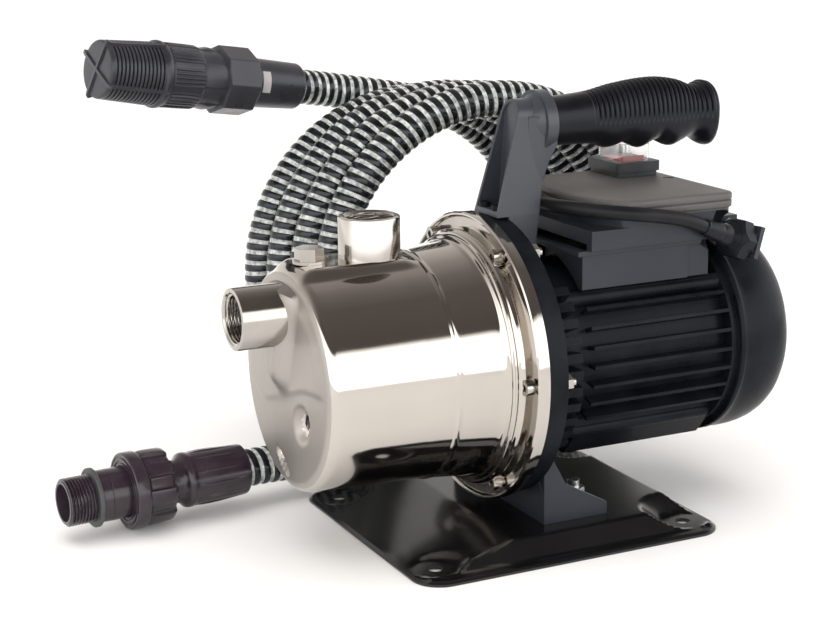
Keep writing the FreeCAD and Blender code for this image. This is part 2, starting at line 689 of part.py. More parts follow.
# Cords
def cord_tube(name, route, radius):
    """Straight runs joined by tangent arcs, each as large as its two runs allow."""
    points = [Vector(*p) for p in route]
    edges, at, radii = [], points[0], []
    for before, corner, after in zip(points, points[1:], points[2:]):
        back, ahead = before - corner, after - corner
        shorter = min(back.Length, ahead.Length)
        half_turn = (math.pi - back.getAngle(ahead)) / 2
        reach = 0.45 * shorter
        bend = reach / math.tan(half_turn)
        back.normalize()
        ahead.normalize()
        start, end = corner + back * reach, corner + ahead * reach
        inward = (back + ahead).normalize()
        middle = corner + inward * (bend / math.cos(half_turn) - bend)
        edges.append(Part.LineSegment(at, start).toShape())
        edges.append(Part.Arc(start, middle, end).toShape())
        radii.append(bend)
        at = end
    edges.append(Part.LineSegment(at, points[-1]).toShape())
    path = Part.Wire(edges)
    first = (points[1] - points[0]).normalize()
    section = Part.Wire(Part.Circle(points[0], first, radius).toShape())
    solid = path.makePipeShell([section], True, False)
    expected = math.pi * radius * radius * path.Length
    print(f"{name}: length {path.Length:.0f}, radii {[round(r) for r in radii]}, "
          f"volume {solid.Volume / expected:.3f} of section times length, valid {solid.isValid()}")
    return solid


CABLE_ROUTE = [
    (134.6, -63.1, 197.8), (119, -67.3, 203.7), (103, -68.6, 211), (83, -69, 216.3), (59, -69.5, 220),
    (36, -58, 222), (26, -32, 222), (24, -2, 220.5), (28, 30, 218), (43, 57, 215), (67, 74, 210),
    (93, 79, 197), (106, 84, 171), (106, 97, 141), (101, 121, 110), (94, 150, 81), (86, 184, 61),
    (79, 219, 53), (67, 254, 51), (57, 276, 27), (46, 293, 8),
]

HOSE_LOWER_ROUTE = [
    (-160, 101.89, 27.5), (-130, 104.54, 27.5), (-93, 111.9, 21.5), (-52, 119.9, 14.4), (-12, 123, 14.0),
]

HOSE_UPPER_ROUTE = [
    (-11.63, 250.96, 272.37), (-25.79, 250.76, 274.99), (-39.91, 249.12, 277.29), (-54, 246, 279.5),
]


def power_cable():
    return cord_tube("power_cable", CABLE_ROUTE, CABLE_R)


def power_cable_coil():
    centre, low = CABLE_COIL_CENTRE, 1.2
    outer = Part.makeCylinder(CABLE_COIL_R + 9.5, 19, centre + Z * low, Z)
    return outer.cut(Part.makeCylinder(CABLE_COIL_R - 9.5, 21, centre + Z * (low - 1), Z))


def cable_tie():
    """Strap round the coil at its far side."""
    x, y = CABLE_COIL_CENTRE.x, CABLE_COIL_CENTRE.y + CABLE_COIL_R
    strap = box(x - 3, x + 3, y - 10.9, y + 10.9, 0, 21.4)
    return strap.cut(power_cable_coil())


def power_plug():
    """Angled-grip mains plug lying on its side, pins towards -Y."""
    rear = PLUG_REAR
    sleeve = Part.makeCone(6.0, 8.5, 16, rear, -Y)
    grip = Part.makeCone(13.0, 18.5, 20, rear - Y * 16, -Y)
    face = Part.makeCylinder(18.5, 10, rear - Y * 36, -Y)
    pins = [Part.makeCylinder(2.4, 19, rear + Vector(0, -46, dz), -Y) for dz in (-9.5, 9.5)]
    return fused([sleeve, grip, face] + pins)


def oblique_disc(radius_front, radius_rear, reach=0.0):
    front = Part.Wire(Part.Circle(COIL_FRONT_CENTRE - Y * reach, Y, radius_front).toShape())
    rear = Part.Wire(Part.Circle(COIL_REAR_CENTRE + Y * reach, Y, radius_rear).toShape())
    return Part.makeLoft([front, rear], True, True)


def hose_coil():
    outer = oblique_disc(COIL_FRONT_MEAN_R + HOSE_R, COIL_REAR_MEAN_R + HOSE_R)
    inner = oblique_disc(COIL_FRONT_MEAN_R - HOSE_R, COIL_REAR_MEAN_R - HOSE_R, 0.5)
    return outer.cut(inner)


def hose_lower():
    return cord_tube("hose_lower", HOSE_LOWER_ROUTE, HOSE_R)


def hose_upper():
    return cord_tube("hose_upper", HOSE_UPPER_ROUTE, HOSE_R)


# Hose coupling, built along +X from its threaded tip
def coupling_frame(shape):
    copy = shape.copy()
    copy.rotate(Vector(0, 0, 0), Z, COUPLING_TURN_DEG)
    copy.translate(COUPLING_TIP)
    return copy


def coupling_body():
    thread = local_ring(0, 19.5, MALE_THREAD_R, 13.0)
    groove = local_ring(19.5, 23, MALE_THREAD_R - 0.6, 13.0)
    barrel = local_ring(23, 50, 18.0, 13.0)
    collar = local_ring(50, 56, 22.0, 13.0)
    return coupling_frame(fused([thread, groove, barrel, collar]))


def thread_seal():
    return coupling_frame(local_ring(19.5, 23, 20.5, MALE_THREAD_R - 0.6))


def coupling_nut():
    """Union nut with lobes, free to turn between the collar and the tail's shoulder."""
    body = fused([local_ring(44, 54, 27.0, 18.3), local_ring(54, 79.5, 25.4, 15.3)])
    lobes = []
    for k in range(8):
        lobe = box(54, 77.5, -3.6, 3.6, 0, 26.8)
        lobe.rotate(Vector(0, 0, 0), X, 45 * k)
        lobes.append(lobe.cut(xcyl(50, 90, 20.0, 0, 0)))
    body = fused([body] + lobes)
    body = body.cut(xcyl(49.6, 72.4, 22.3, 0, 0))
    return coupling_frame(body)


def coupling_tail():
    flange = local_ring(56, 72, 22.0, 12.0)
    neck = local_ring(72, 93, 15.0, 12.0)
    cone = Part.makeCone(15.0, 18.8, 6.0, Vector(91, 0, 0), X)
    sleeve = Part.makeCone(18.8, 16.8, COUPLING_LENGTH - 97, Vector(97, 0, 0), X)
    body = fused([flange, neck, cone, sleeve]).cut(xcyl(50, 130, 12.0, 0, 0))
    return coupling_frame(body)


# Foot valve and strainer, built along +X from the hose end
def strainer_frame(shape):
    copy = shape.copy()
    copy.rotate(Vector(0, 0, 0), Y, -180 + STRAINER_RISE_DEG)
    copy.rotate(Vector(0, 0, 0), Z, STRAINER_TURN_DEG)
    copy.translate(STRAINER_END)
    return copy


def foot_valve_body():
    sleeve = local_ring(0, 44, 18.5, 10.0)
    hexa = hexagon(42, 80, 47.0, 0, 0, 30).cut(xcyl(40, 90, 18.0, 0, 0))
    step = local_ring(40, 44, 22.5, 10.0)
    neck = local_ring(80, 92, 21.5, 18.0)
    seat = local_ring(76, 80, 20.0, 12.0)
    guide = fused([local_ring(50, 54, 4.5, 2.6)] + [
        box(50, 53, -19, -4.2, -1.5, 1.5), box(50, 53, 4.2, 19, -1.5, 1.5)])
    body = fused([sleeve, step, hexa, neck, seat, guide])
    return strainer_frame(body)


def valve_poppet():
    """Poppet that closes the seat from the hose side and lifts towards the hose."""
    disc = xcyl(72.0, 75.95, 15.0, 0, 0)
    stem = xcyl(46.0, 72.5, 2.5, 0, 0)
    return strainer_frame(fused([disc, stem]))


def valve_spring():
    """Light coil spring between the guide and the poppet."""
    length, radius, wire = 16.6, 7.0, 0.5
    helix = Part.makeHelix(length / 5, length, radius)
    start = Vector(radius, 0, 0)
    section = Part.Wire(Part.Circle(start, Vector(0, 1, 0.07), wire).toShape())
    spring = Part.Wire(helix).makePipeShell([section], True, True)
    spring.rotate(Vector(0, 0, 0), Y, 90)
    spring.translate(Vector(54.6, 0, 0))
    return strainer_frame(spring)


def strainer_basket():
    collar = local_ring(80, 106, 25.0, 21.6)
    outer = Part.makeCone(24.0, 22.0, 62, Vector(106, 0, 0), X)
    nose = Part.makeCone(22.0, 19.0, 3, Vector(168, 0, 0), X)
    inner = Part.makeCone(21.5, 19.6, 63, Vector(104, 0, 0), X)
    body = fused([collar, outer, nose]).cut(inner).cut(xcyl(90, 106, 21.5, 0, 0))
    bars = fused([box(100, 172, -30, 30, -1.6, 1.6), box(100, 172, -1.6, 1.6, -30, 30)])
    for k in range(12):
        x = 110 + 4.4 * k
        body = body.cut(local_ring(x, x + 2.0, 30, 10).cut(bars))
    rib = fused([box(100, 172.6, -25, 25, -1.4, 1.4), box(100, 172.6, -1.4, 1.4, -25, 25)])
    rib = rib.common(Part.makeCone(25.2, 23.6, 68.6, Vector(104, 0, 0), X))
    return strainer_frame(fused([body, rib.cut(inner)]))


# Handle
def arch(inset, x0, x1):
    """Post's outline seen from the front, narrowing upwards to a round top, run along X."""
    (low, wide), (high, narrow) = POST_WIDTH
    wide, narrow = wide - inset, narrow - inset
    points = [Vector(x0, -wide, 150), Vector(x0, -wide, low), Vector(x0, -narrow, high)]
    ends = [Vector(x0, narrow, high), Vector(x0, wide, low), Vector(x0, wide, 150)]
    edges = [Part.LineSegment(a, b).toShape() for a, b in zip(points, points[1:])]
    edges.append(Part.Arc(points[-1], Vector(x0, 0, high + narrow), ends[0]).toShape())
    edges += [Part.LineSegment(a, b).toShape() for a, b in zip(ends + points[:1], (ends + points[:1])[1:])]
    return Part.Face(Part.Wire(edges)).extrude(Vector(x1 - x0, 0, 0))


def handle_post():
    """Hollow post, open to the front, that widens behind to the grip's collar."""
    side = [(-16.9, 215.6), (1.2, 282), (4, 295), (27, 295), (27, 262), (22, 250), (17.6, 232),
            (12.5, 193.5), (12.5, 166), (-7.9, 166), (-7.9, 215.6)]

    def wedge(z, half):
        return Part.makePolygon([Vector(*p, z) for p in
                                 [(9, -13), (27, -half), (27, half), (9, 13), (9, -13)]])
    flare = Part.makeLoft([wedge(215, 14), wedge(262, 20)], True, True)
    upper = Part.makeLoft([wedge(262, 20), wedge(281, 20)], True, True)
    body = fused([arch(0, -30, 27), flare, upper]).common(slab(side, -30, 30))
    pocket = arch(POST_SHEET, -60, 4).common(slab([(-60, 219.5), (-60, 300), (4, 300), (1, 219.5)], -30, 30))
    body = body.cut(pocket)
    collar = xcyl(19, 27, 22.4, 0, GRIP_Z)
    neck = Part.makeCone(12.5, 19.5, 9, Vector(11, 0, GRIP_Z + 1), X)
    core = xcyl(5, 152, CORE_R, 0, GRIP_Z)
    body = fused([body, collar, neck, core])
    body = body.cut(xcyl(ADAPTER_X[0] - 20, ADAPTER_X[1], ADAPTER_R + 0.1))
    body = body.cut(xcyl(ADAPTER_X[1] - 1, 60, 66.5))
    body = body.cut(box(-8.5, 13.1, -40, 40, 100, 166.2))
    for y in (-9, 9):
        body = body.cut(zcyl(210, 224, 2.4, HANDLE_SCREW_X, y))
    return body


def handle_grip():
    """Soft grip: hump above, three finger rests below and a flared end."""
    upper = [(27.2, 292.2), (63, 294.2), (80, 297.8), (100, 300.3), (120, 300.4), (133.5, 298),
             (146, 292.4), (150, 294.4), (154, 296), (159, 294.4), (162, 290)]
    lower = [(162, 258), (160.6, 252), (157.5, 250.3), (153, 251.4), (149, 254.5), (142, 257.4),
             (135, 254.8), (127, 252), (120, 254.4), (113.5, 257.3), (107, 255), (101, 252.7),
             (95, 255), (88.8, 257.4), (82, 255.6), (74, 254.7), (65, 257.6), (27.2, 258.8)]
    body = slab(upper + lower, -20, 20).common(xcyl(20, 180, 24.5, 0, 276.8))
    return body.cut(xcyl(20, 152.2, CORE_R, 0, GRIP_Z))


def handle_screws():
    screws = []
    for y in (-9, 9):
        head = zcyl(219.5, 223, 3.8, HANDLE_SCREW_X, y).cut(zcyl(221.5, 224, 1.6, HANDLE_SCREW_X, y))
        screws.append(fused([head, zcyl(200, 219.5, 2.2, HANDLE_SCREW_X, y)]))
    return Part.makeCompound(screws)


NODES = [
    base_plate, foot_bracket, foot_bolts,
    pump_casing, suction_socket, discharge_socket, filler_plug, filler_washer, flange_screws,
    casing_o_ring, ejector_nozzle, venturi_tube, diffuser, impeller, seal_plate, seal_seat, seal_head,
    motor_adapter, front_bearing, rear_bearing, wave_washer, motor_shaft, rotor_core, stator_core,
    stator_windings, motor_housing, rear_end_shield, cooling_fan, fan_cover, tie_rods,
    terminal_box, terminal_box_lid, lid_gasket, lid_screw, capacitor, terminal_block,
    switch_body, switch_rocker, switch_cover, gland_body, gland_nut,
    power_cable, power_cable_coil, cable_tie, power_plug,
    handle_post, handle_grip, handle_screws,
    hose_coil, hose_lower, hose_upper, coupling_body, thread_seal, coupling_nut, coupling_tail,
    foot_valve_body, valve_poppet, valve_spring, strainer_basket,
]


def main():
    os.makedirs("parts", exist_ok=True)
    for node in NODES:
        shape = node()
        solids = len(shape.Solids)
        if not shape.isValid() or solids == 0:
            print(f"{node.__name__}: not a valid solid")
        bounds = shape.BoundBox
        print(f"{node.__name__}: {solids} solid(s), x {bounds.XMin:.1f} {bounds.XMax:.1f}, "
              f"y {bounds.YMin:.1f} {bounds.YMax:.1f}, z {bounds.ZMin:.1f} {bounds.ZMax:.1f}")
        shape.exportStep(f"parts/{node.__name__}.step")


main()
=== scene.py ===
import math

import bmesh
import bpy
from mathutils import Matrix, Vector


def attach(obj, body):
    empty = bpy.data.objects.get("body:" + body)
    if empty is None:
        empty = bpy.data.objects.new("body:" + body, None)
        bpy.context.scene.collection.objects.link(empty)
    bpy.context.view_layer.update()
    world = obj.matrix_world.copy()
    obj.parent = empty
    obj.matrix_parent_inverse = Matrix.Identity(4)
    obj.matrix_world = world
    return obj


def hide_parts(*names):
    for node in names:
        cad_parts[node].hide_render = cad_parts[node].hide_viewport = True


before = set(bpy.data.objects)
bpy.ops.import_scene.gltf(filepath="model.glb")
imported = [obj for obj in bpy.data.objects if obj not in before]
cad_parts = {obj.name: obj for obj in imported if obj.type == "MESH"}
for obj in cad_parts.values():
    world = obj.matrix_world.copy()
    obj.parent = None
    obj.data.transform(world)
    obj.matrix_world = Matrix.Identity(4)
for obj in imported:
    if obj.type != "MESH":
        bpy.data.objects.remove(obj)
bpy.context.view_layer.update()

MM = 0.001
AXIS_Z = 119.0
SUCTION_Z, DISCHARGE_X = 164.3, -103.3
TAU = 2 * math.pi

# Frames whose +X is a part's own axis, in millimetres
SHAFT = Matrix.Translation((0, 0, AXIS_Z))
COUPLING = Matrix.Translation((-293.4, 90.1, 27.5)) @ Matrix.Rotation(math.radians(5.05), 4, "Z")
STRAINER = (Matrix.Translation((-54, 246, 279.5)) @ Matrix.Rotation(math.radians(12.5), 4, "Z")
            @ Matrix.Rotation(math.radians(-171.3), 4, "Y"))
SUCTION = Matrix.Translation((0, 0, SUCTION_Z)) @ Matrix.Rotation(math.pi, 4, "Z")
DISCHARGE = Matrix.Translation((DISCHARGE_X, 0, 0)) @ Matrix.Rotation(-math.pi / 2, 4, "Y")


# Materials
def surface(name, dark, light, rough, metallic=0.0, broad=25.0, fine=700.0, bump=0.15, depth=0.2,
            edge_highlight=0.0, edge=0.5, spread=0.08):
    """Colour and roughness wander with a broad noise, a fine noise gives the relief and edges are eased;
    convex edges can get a painted highlight.
    """
    made = bpy.data.materials.new(name)
    made.use_nodes = True
    nodes, links = made.node_tree.nodes, made.node_tree.links
    shader = nodes["Principled BSDF"]
    coord = nodes.new("ShaderNodeTexCoord")
    wander = nodes.new("ShaderNodeTexNoise")
    wander.inputs["Scale"].default_value = broad
    wander.inputs["Detail"].default_value = 5
    grain = nodes.new("ShaderNodeTexNoise")
    grain.inputs["Scale"].default_value = fine
    grain.inputs["Detail"].default_value = 3
    for noise in (wander, grain):
        links.new(coord.outputs["Object"], noise.inputs["Vector"])
    ramp = nodes.new("ShaderNodeValToRGB")
    ramp.color_ramp.elements[0].position = 0.32
    ramp.color_ramp.elements[0].color = (*dark, 1)
    ramp.color_ramp.elements[1].position = 0.68
    ramp.color_ramp.elements[1].color = (*light, 1)
    links.new(wander.outputs["Fac"], ramp.inputs["Fac"])
    colour = ramp.outputs["Color"]
    # Painted highlight: convex edges, picked out by pointiness, are mixed towards a lighter colour.
    if edge_highlight:
        geometry = nodes.new("ShaderNodeNewGeometry")
        highlit_edges = nodes.new("ShaderNodeMapRange")
        highlit_edges.inputs["From Min"].default_value = 0.52
        highlit_edges.inputs["From Max"].default_value = 0.62
        highlit_edges.inputs["To Max"].default_value = edge_highlight
        links.new(geometry.outputs["Pointiness"], highlit_edges.inputs["Value"])
        mix = nodes.new("ShaderNodeMix")
        mix.data_type = "RGBA"
        links.new(highlit_edges.outputs["Result"], mix.inputs["Factor"])
        links.new(colour, mix.inputs["A"])
        mix.inputs["B"].default_value = (*[min(1, c * 3 + 0.06) for c in light], 1)
        colour = mix.outputs["Result"]
    links.new(colour, shader.inputs["Base Color"])
    gloss = nodes.new("ShaderNodeMapRange")
    gloss.inputs["From Min"].default_value = 0.3
    gloss.inputs["From Max"].default_value = 0.7
    gloss.inputs["To Min"].default_value = max(0.02, rough - spread)
    gloss.inputs["To Max"].default_value = rough + spread
    links.new(wander.outputs["Fac"], gloss.inputs["Value"])
    links.new(gloss.outputs["Result"], shader.inputs["Roughness"])
    shader.inputs["Metallic"].default_value = metallic
    relief = nodes.new("ShaderNodeBump")
    relief.inputs["Strength"].default_value = bump
    relief.inputs["Distance"].default_value = depth * MM
    links.new(grain.outputs["Fac"], relief.inputs["Height"])
    if edge:
        eased = nodes.new("ShaderNodeBevel")
        eased.samples = 4
        eased.inputs["Radius"].default_value = edge * MM
        links.new(eased.outputs["Normal"], relief.inputs["Normal"])
    links.new(relief.outputs["Normal"], shader.inputs["Normal"])
    return made


def set_shader(made, **values):
    """Shader inputs by name, with _ for a space."""
    shader = made.node_tree.nodes["Principled BSDF"]
    for name, value in values.items():
        shader.inputs[name.replace("_", " ")].default_value = value
    return made


STEEL = surface("polished_steel", dark=(0.52, 0.485, 0.445), light=(0.58, 0.545, 0.505), rough=0.08,
                metallic=1.0, broad=9, fine=40, bump=0.05, depth=0.5, edge=0, spread=0.02)
# Front face of the casing: the satin finish's roughness is real, but its darker tone than polished_steel is
# painted shade.
SHADED_SATIN_STEEL = surface("satin_steel_painted_shade", dark=(0.37, 0.345, 0.32), light=(0.46, 0.43, 0.40), rough=0.46,
                      metallic=1.0, broad=14, fine=900, bump=0.08, depth=0.1, edge=0, spread=0.04)
TURNED_STEEL = surface("turned_steel", dark=(0.40, 0.375, 0.345), light=(0.50, 0.47, 0.44), rough=0.13,
                       metallic=1.0, broad=30, fine=600, bump=0.1, depth=0.1, edge=0.3, spread=0.04)
ZINC = surface("zinc_plate", dark=(0.5, 0.51, 0.52), light=(0.72, 0.73, 0.72), rough=0.26, metallic=1.0,
               broad=120, fine=500, bump=0.1, depth=0.1)
INNER_STEEL = surface("inner_steel", dark=(0.42, 0.42, 0.43), light=(0.6, 0.6, 0.6), rough=0.3,
                      metallic=1.0, broad=60, fine=500)
PAINT = surface("base_paint", dark=(0.0035, 0.0035, 0.004), light=(0.007, 0.0066, 0.007), rough=0.19,
                broad=12, fine=260, bump=0.12, depth=0.12, edge=0.8, spread=0.05)
PLASTIC = surface("moulded_black", dark=(0.012, 0.0135, 0.017), light=(0.019, 0.021, 0.027), rough=0.36,
                  broad=18, fine=1500, bump=0.3, depth=0.08, edge=0.7)
# Painted light: the same black plastic as moulded_black, made lighter to stand in for the light falling on
# the handle post's flats.
LIT_POST = surface("post_black_painted_light", dark=(0.027, 0.030, 0.038), light=(0.037, 0.041, 0.051), rough=0.34,
               broad=18, fine=1500, bump=0.3, depth=0.08, edge=0.7)
CASTING = surface("cast_black", dark=(0.004, 0.0045, 0.006), light=(0.009, 0.010, 0.013), rough=0.32,
                  broad=40, fine=900, bump=0.4, depth=0.15, edge=0.6)
LID = surface("lid_plastic", dark=(0.064, 0.057, 0.055), light=(0.084, 0.076, 0.074), rough=0.5,
              broad=10, fine=1800, bump=0.35, depth=0.07, edge=0.8)
GREY = surface("grey_plastic", dark=(0.02, 0.021, 0.021), light=(0.032, 0.033, 0.033), rough=0.42,
               broad=60, fine=1300, bump=0.2, depth=0.06)
RUBBER = surface("grip_rubber", dark=(0.003, 0.003, 0.004), light=(0.007, 0.007, 0.009), rough=0.36,
                 broad=30, fine=1600, bump=0.3, depth=0.07, edge=0)
CABLE = surface("cable_rubber", dark=(0.0045, 0.0045, 0.005), light=(0.010, 0.010, 0.011), rough=0.4,
                broad=30, fine=1400, bump=0.25, depth=0.06, edge=0)
SEAL = surface("seal_rubber", dark=(0.035, 0.038, 0.038), light=(0.06, 0.064, 0.064), rough=0.5,
               broad=80, fine=900, edge=0.3)
RED = surface("rocker_red", dark=(0.42, 0.02, 0.015), light=(0.55, 0.035, 0.025), rough=0.25, broad=60,
              fine=900, bump=0.1, depth=0.04)
# The coupling and strainer plastics carry a painted highlight on their convex edges.
COUPLING_PLASTIC = surface("coupling_plastic", dark=(0.016, 0.010, 0.014), light=(0.028, 0.018, 0.026),
                           rough=0.21, broad=40, fine=900, bump=0.25, depth=0.08, edge=0.4, edge_highlight=0.15)
STRAINER_PLASTIC = surface("strainer_plastic", dark=(0.019, 0.019, 0.022), light=(0.031, 0.030, 0.035),
                           rough=0.32, broad=30, fine=900, bump=0.25, depth=0.08, edge=0.4, edge_highlight=0.15)
WINDOW = surface("window_plastic", dark=(0.3, 0.28, 0.28), light=(0.4, 0.37, 0.37), rough=0.4, edge=0.2)
HOSE_DARK = surface("hose_rib", dark=(0.004, 0.0045, 0.005), light=(0.014, 0.016, 0.018), rough=0.15,
                    broad=90, fine=300, bump=0.4, depth=0.3, edge=0)
HOSE_CLEAR = surface("hose_wall", dark=(0.13, 0.135, 0.13), light=(0.62, 0.63, 0.61), rough=0.16,
                     broad=260, fine=420, bump=0.6, depth=0.3, edge=0)
COPPER = surface("winding_copper", dark=(0.35, 0.13, 0.05), light=(0.6, 0.28, 0.12), rough=0.35,
                 metallic=0.9, broad=300, fine=900)
CERAMIC = surface("seal_ceramic", dark=(0.7, 0.69, 0.65), light=(0.85, 0.84, 0.8), rough=0.2, broad=60,
                  fine=900, bump=0.05, depth=0.05)
CLEAR = set_shader(surface("clear_cover", dark=(0.9, 0.91, 0.92), light=(0.98, 0.99, 1.0), rough=0.08,
                           edge=0.4, spread=0.03),
                   Transmission_Weight=0.96, IOR=1.45)
set_shader(HOSE_CLEAR, Coat_Weight=0.6, Coat_Roughness=0.1)
set_shader(CASTING, IOR=1.3)
for tinted, level in ((PLASTIC, 0.4), (CASTING, 0.25), (RUBBER, 0.25), (CABLE, 0.2), (HOSE_DARK, 0.42),
                      (STRAINER_PLASTIC, 0.4), (GREY, 0.35)):
    set_shader(tinted, Specular_IOR_Level=level, Specular_Tint=(0.86, 0.9, 1.0, 1))


# Mesh helpers; points are in millimetres
def add_piece(name, points, faces, materials, body, swaps, smooth_deg=32.0, face_material=None):
    mesh = bpy.data.meshes.new(name)
    mesh.from_pydata([tuple(c * MM for c in p) for p in points], [], faces)
    for made in materials:
        mesh.materials.append(made)
    if face_material:
        mesh.polygons.foreach_set("material_index", face_material)
    work = bmesh.new()
    work.from_mesh(mesh)
    bmesh.ops.remove_doubles(work, verts=work.verts, dist=2e-6)
    bmesh.ops.dissolve_degenerate(work, edges=work.edges, dist=1e-7)
    bmesh.ops.recalc_face_normals(work, faces=work.faces)
    work.to_mesh(mesh)
    work.free()
    mesh.shade_smooth()
    mesh.set_sharp_from_angle(angle=math.radians(smooth_deg))
    piece = bpy.data.objects.new(name, mesh)
    bpy.context.collection.objects.link(piece)
    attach(piece, body)
    if swaps:
        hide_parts(*swaps)
    return piece


def grid_faces(rows, columns, loop_rows=False):
    """Quads of a grid whose columns close on themselves."""
    faces = []
    for i in range(rows if loop_rows else rows - 1):
        a, b = i * columns, (i + 1) % rows * columns
        for j in range(columns):
            k = (j + 1) % columns
            faces.append((a + j, a + k, b + k, b + j))
    return faces


def lathe(profile, place, columns=96, shape=None):
    """Closed (x, radius) outline turned about the frame's +X. shape(x, radius, angle) may move each point."""
    points = []
    for x, radius in profile:
        for j in range(columns):
            angle = TAU * j / columns
            px, pr = shape(x, radius, angle) if shape else (x, radius)
            points.append(place @ Vector((px, -pr * math.cos(angle), pr * math.sin(angle))))
    return points, grid_faces(len(profile), columns, True)


def merged(parts):
    """One list of points and one of faces from several pairs of them."""
    points, faces = [], []
    for part_points, part_faces in parts:
        start = len(points)
        points += part_points
        faces += [tuple(start + i for i in face) for face in part_faces]
    return points, faces


def step(low, high, value):
    """Smooth rise from 0 at low to 1 at high."""
    t = min(1.0, max(0.0, (value - low) / (high - low)))
    return t * t * (3 - 2 * t)


def between(table, x):
    """Straight-line interpolation in a table of (x, value)."""
    for (x0, v0), (x1, v1) in zip(table, table[1:]):
        if x <= x1:
            return v0 + (v1 - v0) * min(1.0, max(0.0, (x - x0) / (x1 - x0)))
    return table[-1][1]


def smooth_between(table, x):
    """Catmull-Rom interpolation in a table of (x, value)."""
    k = max(0, min(len(table) - 2, sum(1 for x0, _ in table[1:-1] if x0 <= x)))
    (x0, v0), (x1, v1) = table[k], table[k + 1]
    before = table[k - 1] if k else (2 * x0 - x1, 2 * v0 - v1)
    after = table[k + 2] if k + 2 < len(table) else (2 * x1 - x0, 2 * v1 - v0)
    t, h = (x - x0) / (x1 - x0), x1 - x0
    m0 = (v1 - before[1]) / (x1 - before[0]) * h
    m1 = (after[1] - v0) / (after[0] - x0) * h
    return ((2 * t ** 3 - 3 * t * t + 1) * v0 + (t ** 3 - 2 * t * t + t) * m0
            + (3 * t * t - 2 * t ** 3) * v1 + (t ** 3 - t * t) * m1)


def drill(piece, cutters):
    """Cuts round holes; each cutter is (centre, direction, radius, length) in millimetres."""
    sides = 48
    for centre, direction, radius, length in cutters:
        ring = [(radius * math.cos(TAU * j / sides), radius * math.sin(TAU * j / sides))
                for j in range(sides)]
        turn = Vector((0, 0, 1)).rotation_difference(Vector(direction)).to_matrix()
        points = [turn @ Vector((a, b, side * length / 2)) + Vector(centre) for side in (-1, 1)
                  for a, b in ring]
        faces = grid_faces(2, sides)
        faces += [tuple(range(sides - 1, -1, -1)), tuple(range(sides, 2 * sides))]
        mesh = bpy.data.meshes.new("cutter")
        mesh.from_pydata([tuple(c * MM for c in p) for p in points], [], faces)
        tool = bpy.data.objects.new("cutter", mesh)
        bpy.context.collection.objects.link(tool)
        cut = piece.modifiers.new("hole", "BOOLEAN")
        cut.object, cut.operation, cut.solver = tool, "DIFFERENCE", "EXACT"
        bpy.context.view_layer.update()
        whole = piece.evaluated_get(bpy.context.evaluated_depsgraph_get())
        result = bpy.data.meshes.new_from_object(whole)
        piece.modifiers.clear()
        piece.data = result
        bpy.data.objects.remove(tool)
    piece.data.set_sharp_from_angle(angle=math.radians(32))


# Pump casing
BARREL = [(-157, 74.4), (-143, 74.7), (-96, 76.2), (-78.4, 77.1), (-77.2, 78.0), (-75.9, 78.0),
          (-74.8, 77.5), (-54, 79.6), (-48, 80.2)]
FLANGE = [(-46, 80.5), (-44.8, 80.9), (-43.8, 81.8), (-43.3, 83.0), (-42.5, 83.8), (-41.5, 83.7),
          (-40.8, 84.3), (-40.4, 85.4), (-39.6, 86.0), (-38.6, 85.9), (-37.9, 86.3), (-37.4, 87.2),
          (-36.5, 87.7), (-34.0, 87.7), (-30.5, 87.9), (-28.9, 88.5), (-28.2, 89.6), (-28.2, 94.2),
          (-28.8, 95.2), (-30.2, 95.8), (-31.0, 96.6), (-31.2, 97.8), (-30.4, 98.8), (-29.0, 99.0),
          (-26.0, 99.0), (-22.9, 99.0)]
INSIDE = [(-22.9, 96.9), (-27.5, 96.7), (-27.5, 88.9), (-36, 84.6), (-46, 78.6), (-76, 75.0),
          (-156, 72.2), (-158.5, 66), (-158.5, 0)]
SHELF = [(-72, 4), (-60, 4), (-37, 2), (-20, -3), (-10, -7), (12, -14), (34, -19), (60, -12), (72, -8)]
FACE_X, FACE_RIM, SHADED_SATIN_UNTIL_X = -165.0, 64, -162.8
PORT_BORE = 17.5


def casing_front(y, z):
    """How far the front face stands out at a point, z measured from the shaft."""
    from_axis = math.hypot(y, z)
    # Boss that runs down from the suction socket
    along = min(1.0, max(0.0, (46.0 - z) / 38.0))
    reach = 25.0 - 9.0 * along
    gap = math.hypot(y - 1.5 * along, min(0.0, z - 10.0)) - reach
    boss = step(4.0, -13.0, gap)
    out = 8.6 * boss * (0.92 + 0.08 * along)
    # Shelf line across the face
    shelf = z - smooth_between(SHELF, y)
    out += 1.1 * step(-3.2, 3.2, shelf) * (1 - boss) * step(66, 58, from_axis)
    # Raised strip along one side
    side = (y + 62) * 0.93 + (z + 20) * 0.12
    out += 0.9 * step(1.5, -1.5, side) * step(66, 60, from_axis)
    # Round dimple
    bowl = math.hypot((y + 29.5) * 0.92, (z + 22) * 0.88 + (y + 29.5) * 0.2)
    out -= 5.2 * step(13.0, 4.0, bowl)
    # Long slanting dimple near the bottom
    across = (y - 7.5) * 0.62 + (z + 57) * -0.78
    down = (y - 7.5) * 0.78 + (z + 57) * 0.62
    out -= 4.0 * step(1.0, 0.45, math.hypot(across / 4.6, down / 14.0))
    # Slight doming of the whole face
    return out + 2.2 * (1 - min(1.0, (y * y + z * z) / 4225))


def casing_shape(x, radius, angle):
    """Relief of the front face, and the saddle pressed flat round the discharge socket."""
    y, z = -radius * math.cos(angle), radius * math.sin(angle)
    if x == FACE_X:
        return x - casing_front(y, z) * step(70, 64, radius), radius
    if z > 0 and x < -75:
        top = 77.0 / max(0.3, math.sin(angle))
        held = step(30, 19, abs(top * math.cos(angle))) * step(-165, -151, x) * step(-75, -88, x)
        radius += held * (top - radius)
    return x, radius


